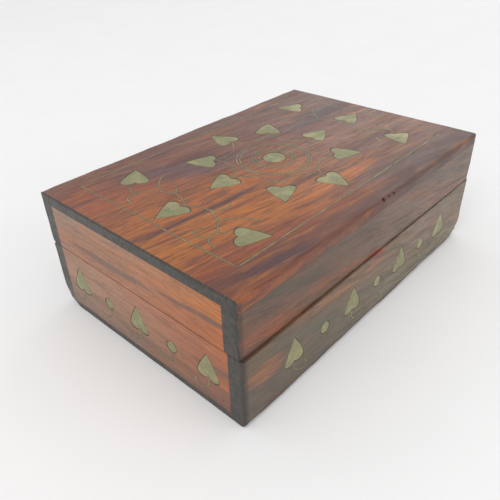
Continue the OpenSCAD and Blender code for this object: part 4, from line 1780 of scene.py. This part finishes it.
@dataclass
class Base:
    """The base: bottom panel, four boards with their inlay, and the lining."""

    sizes: Sizes
    timber: Timber
    hinges: Hinges
    sides: dict[str, SideInlay]
    lining: Lining

    def finishes(self) -> dict[str, bpy.types.Material]:
        """Makes the materials of the bottom panel and the four boards.

        Returns:
            Each CAD node's name with its material.
        """
        s = self.sizes
        high = s.base_h
        front = WoodFinish(
            "base_front_wood",
            bands((0, 98, 84, 70), (9, 102, 88, 72), (17, 106, 88, 70), (24, 122, 88, 64),
                  (high, 134, 92, 62)),
            bands((0, 124, 112, 92), (12, 126, 114, 92), (20, 134, 110, 90), (high, 126, 106, 86)),
            0, high, streak=tone(78, 72, 60), flame=tone(156, 104, 72), flame_amount=0.4, seed=300,
            change=(-60, 30),
            slope=0.16, clouds=(
                Cloud(-66, 19, 11, 5, tone(166, 100, 62), 0.7),
                Cloud(-20, 26, 30, 2.4, tone(158, 108, 70), 0.75, -0.08),
                Cloud(-2, 28.2, 6, 2.0, tone(168, 60, 42), 0.8),
                Cloud(-40, 20, 22, 2.4, tone(92, 90, 74), 0.7, -0.25),
                Cloud(40, 20, 26, 4, tone(150, 112, 92), 0.7, -0.15),
                Cloud(44, 12, 18, 2.6, tone(96, 96, 78), 0.7, -0.1)))
        left = WoodFinish(
            "base_left_wood",
            bands((0, 98, 74, 60), (8, 126, 82, 62), (16, 152, 94, 64), (24, 170, 100, 62),
                  (high, 176, 102, 60)),
            bands((0, 120, 102, 90), (8, 150, 117, 95), (18, 165, 125, 100), (high, 168, 124, 99)),
            0, high, grain=Grain.ALONG_Y, change=(-48, 25), seed=340, slope=-0.04, streak_amount=0.3,
            dash_amount=0.3,
            streak=tone(112, 76, 62), clouds=(
                Cloud(-38, 19, 15, 2.2, tone(112, 86, 72), 0.8, -0.08),
                Cloud(-40, 14, 12, 2, tone(188, 108, 56), 0.6),
                Cloud(30, 13, 18, 2.4, tone(120, 104, 86), 0.6),
                Cloud(-4, 9, 22, 2.2, tone(110, 90, 76), 0.55)))
        back = WoodFinish(
            "base_back_wood",
            bands((0, 82, 66, 52), (14, 98, 72, 54), (high, 116, 78, 56)),
            bands((0, 88, 68, 54), (16, 106, 76, 56), (high, 112, 76, 56)),
            0, high, seed=380)
        right = WoodFinish(
            "base_right_wood",
            bands((0, 88, 68, 54), (14, 118, 78, 56), (high, 132, 84, 58)),
            bands((0, 86, 68, 54), (14, 110, 76, 56), (high, 126, 82, 58)),
            0, high, grain=Grain.ALONG_Y, seed=420, streak_amount=0.45)
        bottom = WoodFinish(
            "bottom_panel_wood",
            bands((-51, 74, 58, 48), (0, 92, 68, 52), (51, 78, 60, 48)),
            bands((-51, 80, 62, 50), (10, 96, 70, 54), (51, 82, 62, 50)),
            -51, 51, figure=Figure.OVER_Y, seed=460)
        return {
            "base_front_board": front.build(s), "base_left_board": left.build(s),
            "base_back_board": back.build(s),
            "base_right_board": right.build(s), "base_bottom_panel": bottom.build(s),
        }

    def build(self) -> None:
        """Lays each side's inlay, cuts the boards and lays the lining."""
        for side in self.sides.values():
            side.build()
        wood = self.finishes()
        s = self.sizes
        x, y = -s.half_l, -s.half_w
        worn = [Chip((-x, y, 0), 9.5, (-1.5, 0.5, 1.7)), Chip((x, -y, 0), 9.5, (0.5, -1.5, 1.7)),
                Chip((-x, -y, 0), 8, (-0.8, -0.8, 0.9))]
        dings = [Chip((-69, y, 13), 1.5, (0, 0.4, 0)), Chip((x, y, 24), 1.2, (0.3, 0.3, 0)),
                 Chip((2, y, s.base_h), 2.6, (0, 0.35, -0.25)), *worn]
        self.timber.board("base_bottom_panel", Body.BASE, wood["base_bottom_panel"], "bottom_wood",
                          chips=worn)
        for name, slot in (("front", "base_long_wood"), ("left", "base_end_wood"),
                           ("right", "base_end_wood")):
            node = f"base_{name}_board"
            pockets = [join(self.sides[name].inlay.pockets)]
            self.timber.board(node, Body.BASE, wood[node], slot, pockets,
                              dings if name == "front" else worn)
        bevel = [self.hinges.axis_y() - self.hinges.bevel_start]
        cutters = [join(self.sides["back"].inlay.pockets), *self.hinges.room("base", -1)]
        self.timber.board("base_back_board", Body.BASE, wood["base_back_board"], "base_long_wood", cutters,
                          worn,
                          shape=self.hinges.bevel(-1), extra_y=bevel)
        self.lining.build()


# ---------- studio ----------


@dataclass(frozen=True)
class Lamp:
    """A square lamp: its place and the length of its side in millimetres, and its power in watts."""

    name: str
    place: tuple[float, float, float]
    size: float
    power: float


@dataclass
class Studio:
    """Pale ground, soft light and the camera."""

    azimuth: float = -46.963
    elevation: float = 34.164
    roll: float = -1.806
    distance: float = 201.3
    target: tuple[float, float, float] = (-31.775, -13.77, 30.0)
    lens: float = 38.635
    sensor: float = 36.0
    ground_reach: float = 4000.0
    clip: tuple[float, float] = (0.01, 50.0)
    ground_flat: float = 0.6
    ground_lines: int = 81
    ground_finish: GroundFinish = GroundFinish("pale_ground")
    sky_strength: float = 0.8
    lamps: tuple[Lamp, ...] = (
        Lamp("window", (-1000, -420, 1150), 1000, 6.5),
        Lamp("front_fill", (500, -1300, 650), 1000, 2.6),
        Lamp("back_fill", (1350, 480, 480), 900, 1.6),
    )

    def ground(self) -> None:
        """A flat ground that curves up far away, as the square of the distance past an edge."""
        line = np.linspace(-self.ground_reach, self.ground_reach, self.ground_lines)
        x, y = np.meshgrid(line, line, indexing="ij")
        past = np.clip(np.hypot(x, y) - self.ground_flat * self.ground_reach, 0, None)
        z = past ** 2 / self.ground_reach
        points = np.stack([x, y, z], -1).reshape(-1, 3)
        quads = open_quads(len(line), len(line))
        floor = Skin(points, [quads]).to_object("ground")
        dress(floor, self.ground_finish.build())

    def hang(self, lamp: Lamp) -> None:
        """Puts a lamp in its place, facing the box.

        Args:
            lamp: the lamp.
        """
        light = bpy.data.lights.new(lamp.name, "AREA")
        light.shape, light.size, light.energy = "SQUARE", lamp.size * MM, lamp.power
        rig = bpy.data.objects.new(lamp.name, light)
        spot = Vector(lamp.place) * MM
        rig.location = spot
        rig.rotation_euler = (-spot).to_track_quat("-Z", "Y").to_euler()
        bpy.context.scene.collection.objects.link(rig)

    def sky(self) -> None:
        """Even white light from all round."""
        world = bpy.data.worlds.new("sky")
        world.use_nodes = True
        back = world.node_tree.nodes["Background"]
        back.inputs["Color"].default_value = (1, 1, 1, 1)
        back.inputs["Strength"].default_value = self.sky_strength
        bpy.context.scene.world = world

    def camera(self) -> None:
        """Aims the camera: it looks along its azimuth and elevation at the target, then rolls."""
        a, e, r = (math.radians(v) for v in (self.azimuth, self.elevation, self.roll))
        back = np.array([math.sin(a) * math.cos(e), -math.cos(a) * math.cos(e), math.sin(e)])
        right = np.cross([0.0, 0.0, 1.0], back)
        right /= np.linalg.norm(right)
        up = np.cross(back, right)
        rolled = math.cos(r) * right + math.sin(r) * up
        upright = -math.sin(r) * right + math.cos(r) * up
        place = (np.array(self.target) + self.distance * back) * MM
        lens = bpy.data.cameras.new("camera")
        lens.lens, lens.sensor_width, lens.sensor_height = self.lens, self.sensor, self.sensor
        lens.clip_start, lens.clip_end = self.clip
        rig = bpy.data.objects.new("camera", lens)
        columns = [rolled, upright, back, place]
        rig.matrix_world = Matrix([[float(c[row]) for c in columns] for row in range(3)] + [[0, 0, 0, 1]])
        bpy.context.scene.collection.objects.link(rig)
        bpy.context.scene.camera = rig

    def build(self) -> None:
        """Sets up ground, light and camera."""
        bpy.context.scene.view_settings.view_transform = "Standard"
        self.camera()
        self.ground()
        self.sky()
        for lamp in self.lamps:
            self.hang(lamp)


# ---------- the box ----------


def planes(sizes: Sizes) -> dict[str, Plane]:
    """The faces that carry inlay, each with its drawing's directions."""
    return {
        "lid": Plane((1, 0, 0), (0, 1, 0), (0, 0, 1), sizes.total_h),
        "front": Plane((1, 0, 0), (0, 0, 1), (0, -1, 0), sizes.half_w),
        "back": Plane((-1, 0, 0), (0, 0, 1), (0, 1, 0), sizes.half_w),
        "left": Plane((0, -1, 0), (0, 0, 1), (-1, 0, 0), sizes.half_l),
        "right": Plane((0, 1, 0), (0, 0, 1), (1, 0, 0), sizes.half_l),
    }


def main() -> None:
    """Builds the base, the lid, the hinges and the studio."""
    logging.basicConfig(level=logging.INFO, format="%(message)s")
    sizes = Sizes.from_frame()
    timber = Timber(sizes)
    leaf_brass = BrassFinish("leaf_brass").build()
    wire_brass = BrassFinish("wire_brass", dull=tone(128, 126, 96), rubbed=0.35, soiled=0.45, scale=0.8,
                             metal=0.25).build()
    hinge_brass = BrassFinish("hinge_brass", dull=tone(128, 110, 66), soiled=0.5, scale=2.0,
                              metal=0.9).build()
    lac = LacFinish("dark_lac").build()
    hinges = Hinges(sizes, hinge_brass)
    faces = planes(sizes)

    sides = {}
    for side, count in (("front", 4), ("back", 4), ("left", 3), ("right", 3)):
        inlay = Inlay(faces[side], Body.BASE, leaf_brass, wire_brass, lac)
        sides[side] = SideInlay(inlay, side, count, grouped=side == "back")
    lining = Lining(VelvetFinish("red_velvet").build())
    Base(sizes, timber, hinges, sides, lining).build()
    log.info("base: done")

    top = LidInlay(Inlay(faces["lid"], Body.LID, leaf_brass, wire_brass, lac))
    Lid(sizes, timber, hinges, top).build()
    log.info("lid: done")

    hinges.dress()
    Studio().build()
    log.info("boards: %d", timber.made)


if __name__ == "__main__":
    main()
